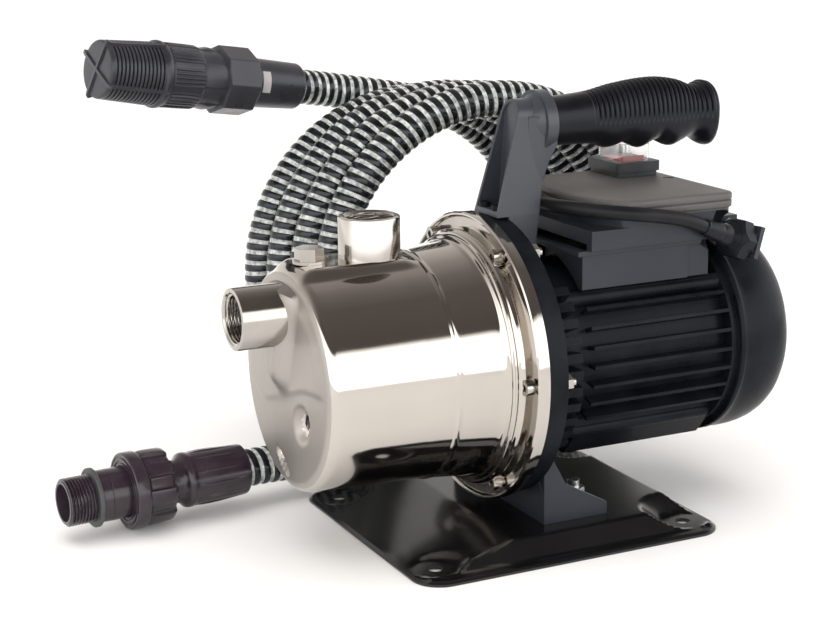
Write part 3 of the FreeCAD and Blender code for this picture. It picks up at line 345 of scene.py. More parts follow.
def pump_casing():
    face = [(FACE_X, r) for r in [*range(0, 20, 3), *range(20, FACE_RIM + 1, 2)]]
    corner = [(-157 - 8 * math.cos(a), 65.5 + 8.9 * math.sin(a)) for a in
              (math.radians(t) for t in range(4, 90, 9))]
    marks = sorted(set([-157 + 3 * k for k in range(36)] + [x for x, _ in BARREL]))
    barrel = [(x, between(BARREL, x)) for x in marks if -157 <= x <= -48]
    points, faces = lathe(face + corner + barrel + FLANGE + INSIDE, SHAFT, 300, casing_shape)
    piece = add_piece("casing_shell", points, faces, [STEEL, SHADED_SATIN_STEEL], "pump", ["pump_casing"],
                      40)
    # Front face polygons get the satin steel; its rougher finish is real and its darker tone is painted
    # shade.
    for polygon in piece.data.polygons:
        if polygon.center.x < SHADED_SATIN_UNTIL_X * MM:
            polygon.material_index = 1
    drill(piece, [((FACE_X, 0, SUCTION_Z), (1, 0, 0), PORT_BORE, 40),
                  ((DISCHARGE_X, 0, 196), (0, 0, 1), PORT_BORE, 30)])


# Threads
G1_PITCH = 2.309


def thread_height(x, angle, hand=1):
    """Height of a rounded thread at a point, from 0 at its root to 1 at its crest."""
    phase = (x / G1_PITCH - hand * angle / TAU) % 1.0
    return min(1.0, max(0.0, 1.35 - abs(phase - 0.5) * 4.0 + 0.15))


def socket(name, node, place, base, mouth, flare):
    """Threaded socket from base to mouth along the frame's +X; flare is its weld fillet."""
    outside, inside = 20.5, 16.6
    wall = [(base, 17.0), (base, outside + flare)]
    wall += [(base + flare * t, outside + flare * (1 - t) ** 2.2) for t in (0.15, 0.35, 0.6, 0.8, 1.0)]
    wall += [(mouth - 1.0, outside), (mouth - 0.3, 20.2), (mouth, 19.6), (mouth, 17.6), (mouth - 0.9, 16.7)]
    length = mouth - 1.2 - base
    rows = int(length / 0.33)
    wall += [(mouth - 1.2 - length * k / rows, inside) for k in range(rows + 1)]

    def shape(x, radius, angle):
        if radius == inside:
            fade = step(mouth, mouth - 3.0, x) * 0.6 + 0.4
            return x, inside - 1.45 * fade * thread_height(x, angle)
        return x, radius
    points, faces = lathe(wall, place, 120, shape)
    add_piece(name, points, faces, [TURNED_STEEL], "pump", [node], 40)


# Base plate
PLATE_HALF_X, PLATE_HALF_Y, PLATE_CORNER = 115.0, 103.0, 20.0
PLATE_HOLE_X, PLATE_HOLE_Y, PLATE_HOLE_R = 95.5, 77.3, 5.0
FOOT_BOLT_X, FOOT_BOLT_Y, FOOT_BOLT_R = 29, 42.0, 4.3
PLATE_RIM, PLATE_CROWN, PLATE_SHEET, RIM_ROLL = 3.0, 11.0, 2.2, 2.6


def ramp(low, high, value):
    """Straight slope with slightly eased ends."""
    t = (value - low) / (high - low)
    return 0.86 * min(1.0, max(0.0, t)) + 0.14 * step(-0.1, 1.1, t)


def base_height(x, y):
    """Top of the crowned plate, which dips to the rim round each corner hole."""
    rise = min(ramp(-112, -40, x), ramp(110, 98, x), ramp(94, 79, abs(y)))
    for sx in (-1, 1):
        for sy in (-1, 1):
            near = math.hypot(x - sx * PLATE_HOLE_X, y - sy * PLATE_HOLE_Y)
            rise = min(rise, ramp(16, 30, near))
    return PLATE_RIM + PLATE_CROWN * rise


def base_plate():
    xs = [-PLATE_HALF_X + 2 * PLATE_HALF_X * i / 116 for i in range(117)]
    ys = [-PLATE_HALF_Y + 2 * PLATE_HALF_Y * i / 104 for i in range(105)]
    top = []
    for x in xs:
        for y in ys:
            dx, dy = abs(x) - (PLATE_HALF_X - PLATE_CORNER), abs(y) - (PLATE_HALF_Y - PLATE_CORNER)
            px, py = x, y
            if dx > 0 and dy > 0:
                pull = max(dx, dy) / math.hypot(dx, dy)
                px = math.copysign(PLATE_HALF_X - PLATE_CORNER + dx * pull, x)
                py = math.copysign(PLATE_HALF_Y - PLATE_CORNER + dy * pull, y)
            inset = min(PLATE_HALF_X - abs(x), PLATE_HALF_Y - abs(y))
            z = base_height(px, py)
            if inset <= RIM_ROLL:
                z = PLATE_RIM - 1.6 * step(RIM_ROLL, 0, inset) ** 2
            top.append((px, py, z))
    under = [(px, py, max(0.0, z - PLATE_SHEET)) for px, py, z in top]
    rows, columns, count = len(xs), len(ys), len(top)
    faces = []
    for i in range(rows - 1):
        for j in range(columns - 1):
            a = i * columns + j
            quad = (a, a + columns, a + columns + 1, a + 1)
            faces.append(quad)
            faces.append(tuple(count + k for k in reversed(quad)))
    last = (rows - 1) * columns
    border = list(range(columns - 1)) + [i * columns + columns - 1 for i in range(rows - 1)]
    border += [last + j for j in range(columns - 1, 0, -1)] + [i * columns for i in range(rows - 1, 0, -1)]
    for a, b in zip(border, border[1:] + border[:1]):
        faces.append((a, b, count + b, count + a))
    piece = add_piece("base_pressing", top + under, faces, [PAINT], "pump", ["base_plate"])
    down = (0, 0, 1)
    holes = [((sx * PLATE_HOLE_X, sy * PLATE_HOLE_Y, 2), down, PLATE_HOLE_R, 30) for sx in (-1, 1)
             for sy in (-1, 1)]
    drill(piece, holes + [((FOOT_BOLT_X, side * FOOT_BOLT_Y, 12), down, FOOT_BOLT_R, 20)
                          for side in (-1, 1)])


# Handle grip
GRIP_START, GRIP_END, GRIP_AXIS_Z, CORE_END, CORE_R = 27.2, 162.0, 275.0, 152.2, 10.2
RIB_PITCH, RIB_DEPTH, GRIP_MEAN_R = 3.75, 1.9, 20
GRIP_TOP = [(27.2, 292.2), (42, 292.5), (63, 294.4), (80, 297.8), (102, 300.4), (118, 300.6), (133, 298.1),
            (141, 295.0), (145.5, 293.6), (149, 294.2), (154, 296.2), (158, 295.6), (160.5, 292.5),
            (162, 286)]
GRIP_BOTTOM = [(27.2, 258.9), (52, 258.5), (65, 257.8), (73.5, 254.6), (81, 255.4), (88.8, 257.5),
               (95, 255), (101, 252.6), (107, 254.8), (113.5, 257.4), (120, 254.6), (127, 252.0),
               (134.5, 254.6), (141.5, 257.5), (147, 255.6), (153, 251.6), (157.5, 250.2), (160.5, 252.4),
               (162, 262)]
GRIP_HALF_WIDTH = [(27.2, 17.0), (60, 17.0), (80, 18.2), (110, 19.6), (133, 18.6), (144, 17.6), (154, 19.2),
                   (159, 18.2), (162, 11)]


def handle_grip():
    """Ribbed above and waved below for the fingers, over a blind bore for the core."""
    columns, rows = 72, 430
    points = []
    for i in range(rows + 1):
        x = GRIP_START + (GRIP_END - GRIP_START) * i / rows
        top, bottom = smooth_between(GRIP_TOP, x), smooth_between(GRIP_BOTTOM, x)
        half, waist = smooth_between(GRIP_HALF_WIDTH, x), GRIP_AXIS_Z
        ribs = step(57, 63, x) * step(158, 153, x)
        for j in range(columns):
            angle = TAU * j / columns
            c, s = math.cos(angle), math.sin(angle)
            y = half * math.copysign(abs(c) ** 0.9, c)
            z = waist + ((top - waist) if s > 0 else (waist - bottom)) * math.copysign(abs(s) ** 0.9, s)
            upper = step(-0.12, 0.06, s)
            groove = ribs * upper * (0.5 - 0.5 * math.cos(TAU * (x - 61) / RIB_PITCH)) ** 2
            scale = 1 - RIB_DEPTH * groove / GRIP_MEAN_R
            points.append((x, y * scale, waist + (z - waist) * scale))
    faces = grid_faces(rows + 1, columns)
    rim = rows * columns
    inner = []
    for depth, share in ((0.6, 0.86), (1.0, 0.6), (1.1, 0.3)):
        for j in range(columns):
            x, y, z = points[rim + j]
            inner.append((GRIP_END + depth * 0.6, y * share, GRIP_AXIS_Z + (z - GRIP_AXIS_Z) * share))
    points += inner
    faces += [tuple(i + rim for i in face) for face in grid_faces(4, columns)]
    faces.append(tuple(rim + 3 * columns + j for j in range(columns)))
    bore = len(points)
    for x in (GRIP_START, CORE_END):
        for j in range(columns):
            angle = TAU * j / columns
            points.append((x, CORE_R * math.cos(angle), GRIP_AXIS_Z + CORE_R * math.sin(angle)))
    for j in range(columns):
        k = (j + 1) % columns
        faces.append((k, j, bore + j, bore + k))
        faces.append((bore + k, bore + j, bore + columns + j, bore + columns + k))
    faces.append(tuple(bore + columns + j for j in range(columns)))
    add_piece("soft_grip", points, faces, [RUBBER], "pump", ["handle_grip"], 60)


# Fan cover
def fan_shroud():
    """Bell with a slotted rear wall; the slots are cells left out of its outer and inner rear faces."""
    outer = [(143.0, 73.6), (143.3, 74.5), (144.2, 75.0), (146.6, 75.0), (147.4, 74.6), (148.2, 74.4),
             (152, 74.5), (158, 74.7), (164, 74.5), (170, 73.8), (176, 72.4), (181, 70.4), (185.4, 67.6),
             (189, 64.0), (191.6, 60.0), (193.2, 55.5)]
    rear = [(195.0, 20.0), (195.6, 17.5), (196.4, 16.5), (196.6, 15), (196.6, 0)]
    back = [(194.4, 0), (194.4, 15), (193.0, 20.0), (191.2, 55.0)]
    inner = [(187.2, 62.4), (180, 68.4), (170, 71.8), (151, 72.2), (150.6, 73.0), (143.0, 73.0)]
    wall = outer + rear + back + inner
    columns, period, width = 192, 8, 3
    points, _ = lathe(wall, SHAFT, columns)
    out_row, in_row = len(outer) - 1, len(outer) + len(rear) + 2
    faces = []
    for i in range(len(wall)):
        for j in range(columns):
            if i in (out_row, in_row) and j % period < width:
                continue
            a, b, k = i * columns, (i + 1) % len(wall) * columns, (j + 1) % columns
            faces.append((a + j, a + k, b + k, b + j))
    rim, root = out_row * columns, (out_row + 1) * columns
    inner_root, inner_rim = in_row * columns, (in_row + 1) * columns
    for start in range(0, columns, period):
        for j in (start, start + width):
            faces.append((rim + j, root + j, inner_root + j, inner_rim + j))
        for j in range(start, start + width):
            faces.append((rim + j, rim + j + 1, inner_rim + j + 1, inner_rim + j))
            faces.append((root + j, root + j + 1, inner_root + j + 1, inner_root + j))
    add_piece("fan_shroud", points, faces, [CASTING], "pump", ["fan_cover"], 34)


# Terminal box lid
def lid_outline(inset, z):
    """D-shaped outline with rounded corners, moved in by inset."""
    half, front, rear, bow = 63 - inset, 38 + inset, 143 - inset, 16.0
    radius = (half * half + bow * bow) / (2 * bow)
    sweep = math.asin(half / radius)
    arc = [(front + radius - radius * math.cos(t), -radius * math.sin(t)) for t in
           (sweep * (1 - k / 24) for k in range(49))]
    corner = 8 - min(inset, 5)
    arc = [p for p in arc if abs(p[1]) < half - 5]

    def rounded(cx, cy, start):
        return [(cx + corner * math.cos(start + math.pi / 2 * k / 8),
                 cy + corner * math.sin(start + math.pi / 2 * k / 8)) for k in range(9)]
    side = front + bow + 3
    flat = [(side, -half), (side + 20, -half), (side + 50, -half)]
    near = flat + rounded(rear - corner, -half + corner, -math.pi / 2)
    far = rounded(rear - corner, half - corner, 0) + [(x, half) for x, _ in reversed(flat)]
    return [Vector((x, y, z)) for x, y in near + far + [(x, -y) for x, y in arc]]


def box_lid():
    stack = [(1.4, 216.5), (0.5, 216.9), (0.1, 217.6), (0.0, 221.0), (0.1, 221.3), (0.9, 221.5), (0.9, 222.1),
             (0.1, 222.3), (0.0, 222.6), (0.0, 225.4), (0.3, 226.2), (0.9, 226.7), (1.9, 227.0), (6, 227.0)]
    loops = [lid_outline(inset, z) for inset, z in stack]
    points = [p for loop in loops for p in loop]
    columns = len(loops[0])
    faces = grid_faces(len(stack), columns)
    faces += [tuple(range(columns - 1, -1, -1)), tuple(len(points) - columns + j for j in range(columns))]
    piece = add_piece("lid_moulding", points, faces, [LID], "pump", ["terminal_box_lid"], 28)
    screw_recess = ((134, 7, 227), (0, 0, 1), 4.0, 4.6)
    drill(piece, [screw_recess])


# Hose coupling
def male_thread():
    """Threaded end with its open bore, and the barrel behind the seal."""
    crest, depth, length = 16.6, 1.4, 18.4
    rows = int(length / 0.32)
    wall = [(0, 13.0), (0, 14.9), (0.5, 15.2)]
    wall += [(0.8 + length * k / rows, crest) for k in range(rows + 1)]
    wall += [(19.5, 16.0), (23, 16.0), (23, 17.2), (23.4, 17.9), (24, 18.0), (30, 18.0), (30.3, 17.7),
             (30.9, 17.7), (31.2, 18.0), (44, 18.0), (45, 18.0), (50, 18.0), (50, 22.0), (56, 22.0),
             (56, 13.0)]

    def shape(x, radius, angle):
        if radius == crest:
            return x, crest - depth * (1 - thread_height(x, angle, hand=-1))
        return x, radius
    points, faces = lathe(wall, COUPLING, 120, shape)
    add_piece("coupling_threaded_end", points, faces, [COUPLING_PLASTIC], "pump", ["coupling_body"],
              40)


def union_nut():
    """Nut with a stepped front edge and eight soft lobes behind it."""
    lobes = 8
    wall = [(44.0, 18.4), (44.0, 19.6), (44.9, 19.8), (44.9, 21.2), (44.0, 21.4), (44.0, 23.0), (44.9, 23.2),
            (44.9, 24.4), (44.3, 24.6), (44.3, 26.0), (45.0, 26.8), (46.2, 27.0), (52.6, 27.0), (53.6, 26.7),
            (54.2, 26.0), (54.4, 25.5), (56, 25.5), (60, 25.5), (66, 25.4), (71.0, 25.2), (73.4, 24.6),
            (74.6, 23.4), (75.0, 21.8), (75.0, 15.4), (72.5, 15.4), (72.5, 22.3), (49.6, 22.3), (49.6, 18.4)]

    def shape(x, radius, angle):
        if x > 54.3 and radius > 21:
            lobe = step(-0.35, 0.05, math.cos(lobes * angle))
            return x, radius - 1.7 * (1 - lobe) * step(54.3, 56, x) + 1.0 * lobe * step(54.3, 57, x)
        return x, radius
    points, faces = lathe(wall, COUPLING, 192, shape)
    add_piece("union_nut_moulding", points, faces, [COUPLING_PLASTIC], "union_nut", ["coupling_nut"],
              35)


def coupling_sleeve():
    """Sleeve that grips the hose, with thin ridges that fade towards the hose."""
    ridges = 12
    wall = [(56, 12), (56, 22), (72, 22), (72, 15), (79, 15.0), (81, 15.1), (83, 15.4), (84.6, 16.3),
            (86, 18.0), (87, 19.0), (88.4, 19.5), (91, 19.5), (91.8, 19.1), (94, 19.1), (98, 19.1),
            (104, 19.0), (112, 18.8), (120, 18.6), (126, 18.4), (131, 18.2), (133.2, 17.9),
            (133.92, 17.0), (133.92, 13.7), (118, 12.0)]

    def shape(x, radius, angle):
        if 92 < x < 131 and radius > 16:
            ridge = step(0.86, 0.99, math.cos(ridges * angle)) * step(96, 99, x) * min(1.0, (131 - x) / 22)
            return x, radius + 0.8 * ridge
        return x, radius
    points, faces = lathe(wall, COUPLING, 240, shape)
    add_piece("coupling_sleeve", points, faces, [COUPLING_PLASTIC], "pump", ["coupling_tail"],
              35)


def seal_ring():
    wall = [(19.6, 16.05), (19.6, 20.0), (20.1, 20.5), (22.4, 20.5), (22.9, 20.0), (22.9, 16.05)]
    points, faces = lathe(wall, COUPLING, 96)
    add_piece("seal_ring", points, faces, [SEAL], "pump", ["thread_seal"])


# Foot valve and strainer
def sided(radius, angle, sides, turn):
    """Radius of a polygon at an angle; radius is that of its flats and turn is where a corner lies."""
    half = math.pi / sides
    return radius / math.cos((angle - turn) % (2 * half) - half)


def foot_valve():
    """Hose end with a pale window, an eight-sided collar and four pads."""
    collar_sides, pads = 8, 4
    wall = [(0, 13.8), (0, 17.2), (0.8, 17.6), (4, 17.7), (20, 18.2), (36, 18.7), (41.5, 18.9), (42.5, 19.4),
            (43.6, 20.8), (44.6, 22.2), (45.6, 22.9), (46.1, 23.6), (46.6, 24.0), (60, 24.0), (72.4, 24.0),
            (72.9, 23.4), (73.4, 21.6), (83, 21.5), (93, 21.4), (93, 18), (80, 18), (80, 12), (76, 12),
            (76, 18), (44, 18), (44, 10), (20, 10), (20, 13.8)]

    def shape(x, radius, angle):
        if 46 < x < 72.8 and radius > 23.5:
            return x, min(sided(radius, angle, collar_sides, math.radians(5)), 25.8)
        if 73.2 < x < 93 and radius > 21.3:
            pad = step(-0.16, 0.02, math.cos(pads * (angle + math.radians(9))))
            return x, radius + 1.9 * pad * step(73.2, 74.2, x)
        return x, radius
    points, faces = lathe(wall, STRAINER, 240, shape)
    add_piece("foot_valve_moulding", points, faces, [STRAINER_PLASTIC], "pump", ["foot_valve_body"],
              24)
    pane = []
    for x in (31.5, 38.5):
        for angle in (math.radians(a) for a in range(-31, 20, 5)):
            for radius in (18.95, 18.2):
                pane.append(STRAINER @ Vector((x + 1.8, -radius * math.cos(angle), radius * math.sin(angle))))
    count = len(pane) // 2
    faces = []
    for j in range(0, count - 2, 2):
        a, b = j, j + 2
        faces += [(a, b, b + count, a + count), (a + 1, a + 1 + count, b + 1 + count, b + 1),
                  (a, a + 1, b + 1, b), (a + count, b + count, b + count + 1, a + count + 1)]
    faces += [(0, count, count + 1, 1), (count - 2, count - 1, 2 * count - 1, 2 * count - 2)]
    add_piece("foot_valve_window", pane, faces, [WINDOW], "pump", [])


RIB_TURN = math.radians(29)


def strainer():
    """Knurled collar, a slotted cone and two crossing bars over its end."""
    wall = [(93.2, 21.7), (93.2, 22.8), (93.8, 23.4), (94.6, 23.7), (106, 23.9), (118.4, 24.0), (119.4, 23.2),
            (120.4, 23.0), (121.2, 23.4), (122, 24.2), (123, 24.8), (124.6, 25.0), (126.0, 24.8), (127, 24.0),
            (127.4, 23.5)]
    slots, pitch, knurls, groups, half_bar = 13, 3.1, 48, 8, 1.15

    def cone(x):
        return 23.5 - 2.2 * (x - 127) / 43
    for k in range(slots):
        x = 128.6 + pitch * k
        wall += [(x, cone(x)), (x + 0.25, cone(x) - 0.1), (x + 0.45, cone(x) - 1.7),
                 (x + 1.45, cone(x) - 1.7), (x + 1.65, cone(x) - 0.1)]
    wall += [(169.4, cone(169.4)), (170.4, 21.2), (171.1, 20.8), (171.5, 20.2), (171.6, 19.2), (171.6, 12),
             (171.8, 6), (171.8, 0), (167, 0), (166, 18), (125, 20.5), (107, 21.4)]

    def shape(x, radius, angle):
        if 94.5 < x < 119 and radius > 23.6:
            bar = step(0.15, -0.15, math.cos(knurls * angle))
            group = step(-0.75, -0.6, math.cos(groups * angle))
            return x, radius - 1.2 * bar * group * step(94.5, 95.5, x) - 1.0 * (1 - group)
        return x, radius
    parts = [lathe(wall, STRAINER, 384, shape)]
    outline = [(124, 26.0), (128, 25.3), (168, 23.1), (171.2, 24.4), (172.4, 23.4), (173.0, 20.4), (173.2, 0)]
    outline += [(x, -r) for x, r in reversed(outline[:-1])]
    outline += [(124, -22.0), (168, -19.6), (169.5, -16), (169.5, 16), (168, 19.6), (124, 22.0)]
    for turn in (RIB_TURN, RIB_TURN + math.pi / 2):
        points = []
        for side in (-half_bar, half_bar):
            for x, r in outline:
                points.append(STRAINER @ Vector((x, r * math.sin(turn) + side * math.cos(turn),
                                                 r * math.cos(turn) - side * math.sin(turn))))
        n = len(outline)
        faces = [(j, (j + 1) % n, n + (j + 1) % n, n + j) for j in range(n)]
        faces += [tuple(range(n)), tuple(range(2 * n - 1, n - 1, -1))]
        parts.append((points, faces))
    points, faces = merged(parts)
    add_piece("strainer_moulding", points, faces, [STRAINER_PLASTIC], "pump", ["strainer_basket"],
              30)


# Cords; their free runs take the CAD model's routes, but four of the lead's points are moved a little
def cord_line(name, route, radius=0.0):
    """Smooth NURBS line with the route's points as its control points."""
    curve = bpy.data.curves.new(name, "CURVE")
    curve.dimensions = "3D"
    line = curve.splines.new("NURBS")
    line.points.add(len(route) - 1)
    for point, place in zip(line.points, route):
        point.co = (*(c * MM for c in place), 1)
    line.order_u = 3
    line.use_endpoint_u = True
    curve.resolution_u = 12
    curve.bevel_depth = radius * MM
    curve.bevel_resolution = 6
    curve.use_fill_caps = True
    piece = bpy.data.objects.new(name, curve)
    bpy.context.collection.objects.link(piece)
    return piece


CABLE_ROUTE = [
    (134.6, -63.1, 197.8), (119, -67.3, 203.7), (103, -68.6, 211), (83, -69, 216.3), (59, -69.5, 220),
    (37, -56, 222), (24.5, -31, 222), (24, -2, 220.5), (28, 30, 218), (43, 57, 215), (67, 74, 210),
    (93, 79, 197), (106, 84, 171), (106, 97, 141), (101, 121, 110), (94, 150, 81), (86, 184, 61),
    (79, 219, 53), (67, 254, 51), (53, 276, 32), (46, 298, 16),
]
SPARE_X, SPARE_Y, SPARE_R, SPARE_POINTS = 98, 322, 50.0, 14
LEAD_END = [(155.5, 311.5, 19.3), (157.5, 300, 19.5)]
LEAD_R = 4.75


def power_cable():
    """The free run, then the spare length in turns that lie beside and on each other, up to the plug."""
    route = list(CABLE_ROUTE)
    for k in range(36):
        angle = math.pi - TAU * k / SPARE_POINTS
        turn = k / SPARE_POINTS
        radius = SPARE_R + (4.9 * step(0.9, 1.6, turn) if turn > 1.25 else 0.0)
        height = 6.2 + 9.4 * step(0.85, 1.15, turn) + 2.4 * step(2.28, 2.5, turn)
        route.append((SPARE_X + radius * math.cos(angle), SPARE_Y + radius * math.sin(angle), height))
    piece = cord_line("mains_lead", route + LEAD_END, LEAD_R)
    piece.data.materials.append(CABLE)
    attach(piece, "pump")
    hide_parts("power_cable", "power_cable_coil")
    return piece


def gland_sleeve():
    """Tapered strain relief on the first 23 mm of the lead; its line is the NURBS line's own first arc."""
    columns = 48
    start, bend, third = (Vector(p) for p in CABLE_ROUTE[:3])
    end = (bend + third) / 2
    outline = [(-0.04, 5.0), (-0.04, 7.6), (0.0, 7.8), (0.08, 7.8), (0.12, 7.3), (0.2, 7.2), (0.24, 6.6),
               (0.32, 6.9), (0.36, 6.4), (0.44, 6.6), (0.48, 6.1), (0.56, 6.3), (0.6, 5.9), (0.68, 6.0),
               (0.72, 5.6), (0.82, 5.6), (0.85, 5.2), (0.85, 4.9)]
    points = []
    for t, radius in outline:
        centre = start * (1 - t) ** 2 + bend * 2 * t * (1 - t) + end * t * t
        ahead = ((bend - start) * (1 - t) + (end - bend) * t).normalized()
        side = ahead.cross(Vector((0, 0, 1))).normalized()
        up = side.cross(ahead)
        for j in range(columns):
            angle = TAU * j / columns
            points.append(centre + (side * math.cos(angle) + up * math.sin(angle)) * radius)
    faces = grid_faces(len(outline), columns, True)
    add_piece("gland_sleeve", points, faces, [RUBBER], "pump", [])


HOSE_LOWER = [(-160, 101.89, 27.5), (-130, 104.54, 27.5), (-93, 111.9, 21.5), (-52, 119.9, 14.4),
              (-12, 123, 14)]
HOSE_UPPER = [(-11.63, 250.96, 272.37), (-25.79, 250.76, 274.99), (-39.91, 249.12, 277.29),
              (-54, 246, 279.5)]
HOSE_PITCH = 7.8
HOSE_SIDES = 24
HOSE_WAVE = [(0.0, 13.2), (0.08, 13.5), (0.22, 13.65), (0.4, 13.65), (0.53, 13.5), (0.61, 13.2),
             (0.66, 12.95), (0.8, 12.85), (0.95, 12.95)]
HOSE_DARK_UNTIL = 0.61
HOSE_TURNS, HOSE_POINTS = 4.5, 16
COIL_FRONT = (66.5, 123.0, 145.3, 131.3)
COIL_REAR = (26.4, 246.5, 138.7, 124.7)


def hose_route():
    """Both free ends and the coil between them, whose ends are given as x, y, z of the centre and radius."""
    route = list(HOSE_LOWER) + [(27, 123, 14.2)]
    steps = int(HOSE_TURNS * HOSE_POINTS)
    for k in range(steps + 1):
        share = k / steps
        angle = TAU * k / HOSE_POINTS
        cx, cy, cz, mean = (a + (b - a) * share for a, b in zip(COIL_FRONT, COIL_REAR))
        loose = 1.2 * math.sin(2.1 * angle / TAU) * math.sin(angle / 2) ** 2
        radius = mean / math.cos(math.pi / HOSE_POINTS) - loose
        route.append((cx + radius * math.sin(angle), cy, max(13.0, cz - radius * math.cos(angle))))
    return route + list(HOSE_UPPER)


def hose():
    """Tube with a helical rib that follows points read from the hose's NURBS line."""
    route = hose_route()
    line = cord_line("hose_line", route)
    bpy.context.view_layer.update()
    read = bpy.data.meshes.new_from_object(line.evaluated_get(bpy.context.evaluated_depsgraph_get()))
    path = [v.co / MM for v in read.vertices]
    bpy.data.objects.remove(line)
    lengths = [0.0]
    for a, b in zip(path, path[1:]):
        lengths.append(lengths[-1] + (b - a).length)
    total = lengths[-1]
    across = Vector((0, 0, 1)).cross(path[1] - path[0]).normalized()
    sides = []
    for k, point in enumerate(path):
        ahead = (path[min(k + 1, len(path) - 1)] - path[max(k - 1, 0)]).normalized()
        across = (across - ahead * across.dot(ahead)).normalized()
        sides.append((point, across.copy(), ahead.cross(across)))

    def at(distance):
        distance = min(total, max(0.0, distance))
        low, high = 0, len(lengths) - 1
        while high - low > 1:
            middle = (low + high) // 2
            if lengths[middle] <= distance:
                low = middle
            else:
                high = middle
        t = (distance - lengths[low]) / (lengths[high] - lengths[low])
        return [a.lerp(b, t) for a, b in zip(sides[low], sides[high])]
    wave = len(HOSE_WAVE)
    count = int(total / HOSE_PITCH * HOSE_SIDES) + HOSE_SIDES
    points, faces, kinds = [], [], []
    for j in range(count):
        angle = TAU * j / HOSE_SIDES
        for share, radius in HOSE_WAVE:
            centre, side, up = at((j / HOSE_SIDES - 1 + share) * HOSE_PITCH)
            points.append(centre + (side * math.cos(angle) + up * math.sin(angle)) * radius)
    for j in range(count - 1):
        for i in range(wave):
            a, b = j * wave + i, (j + 1) * wave + i
            if i < wave - 1:
                quad = (a, a + 1, b + 1, b)
            elif j + 1 + HOSE_SIDES < count:
                quad = (a, (j + HOSE_SIDES) * wave, (j + 1 + HOSE_SIDES) * wave, b)
            else:
                continue
            faces.append(quad)
            kinds.append(0 if HOSE_WAVE[i][0] < HOSE_DARK_UNTIL else 1)
    piece = add_piece("suction_hose", points, faces, [HOSE_DARK, HOSE_CLEAR], "pump",
                      ["hose_coil", "hose_lower", "hose_upper"], 50, kinds)
    return piece, [tuple(p * MM) for p in path], total * MM


# Stage; the camera stands where the photo's camera stood
CAMERA_PLACE = (-0.5867, -1.0648, 0.4445)
CAMERA_LENS = 78.84
CAMERA_AZIMUTH, CAMERA_ELEVATION, CAMERA_ROLL = -25.88, 13.8, -0.63


def look_from(position, right, up):
    """Placement of a camera that looks along -Z of its own frame."""
    back = right.cross(up)
    spin = Matrix((right, up, back)).transposed().to_4x4()
    return Matrix.Translation(position) @ spin


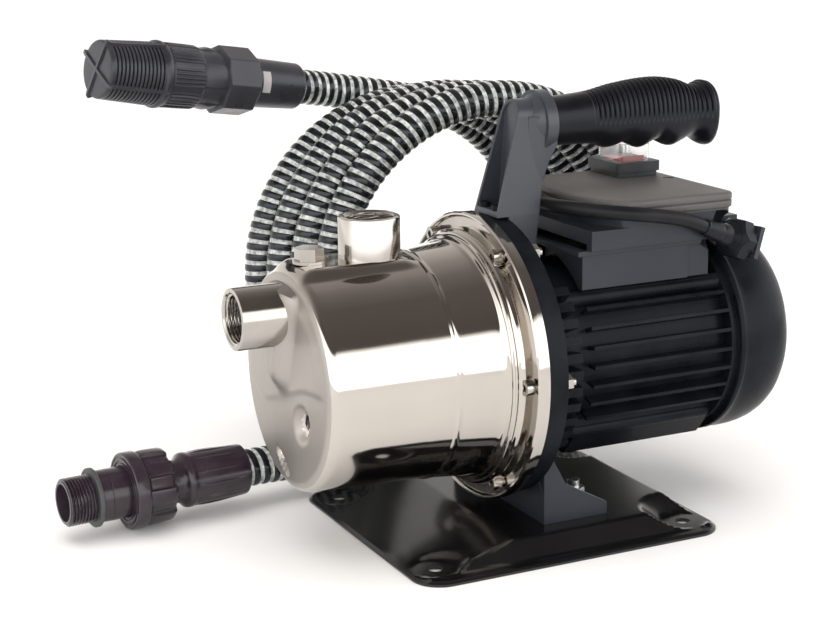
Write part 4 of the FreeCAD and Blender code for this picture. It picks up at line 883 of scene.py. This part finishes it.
def stage():
    camera_data = bpy.data.cameras.new("camera")
    camera_data.sensor_width = 36.0
    camera_data.lens = CAMERA_LENS
    camera_data.clip_start = 0.05
    camera_data.clip_end = 100.0
    camera = bpy.data.objects.new("camera", camera_data)
    bpy.context.collection.objects.link(camera)
    angles = (CAMERA_AZIMUTH, CAMERA_ELEVATION, CAMERA_ROLL)
    azimuth, elevation, roll = (math.radians(a) for a in angles)
    back = Vector((math.sin(azimuth) * math.cos(elevation), -math.cos(azimuth) * math.cos(elevation),
                   math.sin(elevation)))
    level = Vector((math.cos(azimuth), math.sin(azimuth), 0))
    upright = back.cross(level)
    right = level * math.cos(roll) + upright * math.sin(roll)
    up = upright * math.cos(roll) - level * math.sin(roll)
    camera.matrix_world = look_from(Vector(CAMERA_PLACE), right, up)
    bpy.context.scene.camera = camera

    size = 12.0
    mesh = bpy.data.meshes.new("floor")
    mesh.from_pydata([(-size, -size, 0), (size, -size, 0), (size, size, 0), (-size, size, 0)], [],
                     [(0, 1, 2, 3)])
    floor = bpy.data.objects.new("floor", mesh)
    bpy.context.collection.objects.link(floor)
    pale = surface("floor_paint", dark=(0.86, 0.855, 0.85), light=(0.88, 0.875, 0.87), rough=0.75,
                   broad=2, fine=60, bump=0.02, depth=0.1, edge=0)
    mesh.materials.append(pale)

    def soft_light(name, position, aim, width, power, colour):
        data = bpy.data.lights.new(name, "AREA")
        data.shape, data.size, data.energy, data.color = "SQUARE", width, power, colour
        light = bpy.data.objects.new(name, data)
        bpy.context.collection.objects.link(light)
        light.location = position
        light.rotation_mode = "QUATERNION"
        light.rotation_quaternion = (Vector(aim) - Vector(position)).to_track_quat("-Z", "Y")
        light.visible_glossy = False
    soft_light("overhead", (-0.3, 0.2, 2.6), (0, 0, 0), 3.0, 16, (1.0, 0.99, 0.975))
    soft_light("side", (-2.2, -1.6, 1.3), (0, 0, 0.1), 1.6, 12, (1.0, 0.99, 0.97))
    sun_data = bpy.data.lights.new("sky", "SUN")
    sun_data.energy, sun_data.angle, sun_data.color = 1.9, math.radians(70), (1.0, 0.99, 0.98)
    sun = bpy.data.objects.new("sky", sun_data)
    bpy.context.collection.objects.link(sun)
    sun.visible_glossy = False

    world = bpy.data.worlds.new("studio")
    bpy.context.scene.world = world
    world.use_nodes = True
    nodes, links = world.node_tree.nodes, world.node_tree.links
    background = nodes["Background"]
    coord = nodes.new("ShaderNodeTexCoord")
    split = nodes.new("ShaderNodeSeparateXYZ")
    links.new(coord.outputs["Generated"], split.inputs["Vector"])

    def brightness(stops):
        """Brightness by height over the horizon."""
        made = nodes.new("ShaderNodeValToRGB")
        elements = made.color_ramp.elements
        while len(elements) < len(stops):
            elements.new(0.5)
        for element, (position, colour) in zip(elements, stops):
            element.position = position
            element.color = (*colour, 1)
        links.new(split.outputs["Z"], made.inputs["Fac"])
        return made
    near = brightness([(0.0, (1, 1, 1)), (0.515, (1, 0.99, 0.97)), (0.585, (0.046, 0.040, 0.036)),
                       (1.0, (0.06, 0.053, 0.049))])
    far = brightness([(0.0, (0.7, 0.69, 0.67)), (0.2, (0.42, 0.41, 0.39)), (0.5, (0.28, 0.265, 0.25)),
                      (0.7, (0.21, 0.197, 0.187)), (0.82, (0.15, 0.139, 0.131)),
                      (0.95, (0.10, 0.091, 0.086))])
    side = nodes.new("ShaderNodeMapRange")
    side.inputs["From Min"].default_value = -0.15
    side.inputs["From Max"].default_value = 0.35
    links.new(split.outputs["Y"], side.inputs["Value"])
    mix = nodes.new("ShaderNodeMix")
    mix.data_type = "RGBA"
    links.new(side.outputs["Result"], mix.inputs["Factor"])
    links.new(near.outputs["Color"], mix.inputs["A"])
    links.new(far.outputs["Color"], mix.inputs["B"])
    links.new(mix.outputs["Result"], background.inputs["Color"])
    background.inputs["Strength"].default_value = 2.6
    bpy.context.scene.view_settings.view_transform = "Standard"


NODE_MATERIALS = {
    PLASTIC: ("foot_bracket", "terminal_box", "cable_tie", "cooling_fan", "impeller", "diffuser",
              "venturi_tube", "ejector_nozzle", "power_plug"),
    # The handle post takes the lighter copy of the black plastic, painted light on its flats.
    LIT_POST: ("handle_post",),
    ZINC: ("foot_bolts", "tie_rods"),
    TURNED_STEEL: ("flange_screws", "filler_plug", "filler_washer", "seal_plate"),
    INNER_STEEL: ("front_bearing", "rear_bearing", "wave_washer", "motor_shaft", "rotor_core",
                  "stator_core", "valve_spring"),
    CASTING: ("gland_body", "gland_nut", "motor_adapter", "motor_housing", "rear_end_shield",
              "handle_screws", "lid_screw"),
    SEAL: ("casing_o_ring", "lid_gasket", "seal_head"),
    GREY: ("switch_body", "capacitor", "terminal_block"),
    RED: ("switch_rocker",),
    CLEAR: ("switch_cover",),
    COPPER: ("stator_windings",),
    CERAMIC: ("seal_seat",),
    STRAINER_PLASTIC: ("valve_poppet",),
}


def dress_nodes():
    """Materials of the CAD nodes that stay as they are."""
    for made, names in NODE_MATERIALS.items():
        for name in names:
            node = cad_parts[name]
            node.data.materials.clear()
            node.data.materials.append(made)
            node.data.shade_smooth()
            node.data.set_sharp_from_angle(angle=math.radians(28))


stage()
dress_nodes()
pump_casing()
socket("suction_fitting", "suction_socket", SUCTION, base=160.5, mouth=200.3, flare=4.0)
socket("discharge_fitting", "discharge_socket", DISCHARGE, base=194.5, mouth=223.2, flare=1.2)
base_plate()
handle_grip()
fan_shroud()
box_lid()
male_thread()
union_nut()
coupling_sleeve()
seal_ring()
foot_valve()
strainer()
lead = power_cable()
gland_sleeve()
hose_piece, hose_path, hose_length = hose()
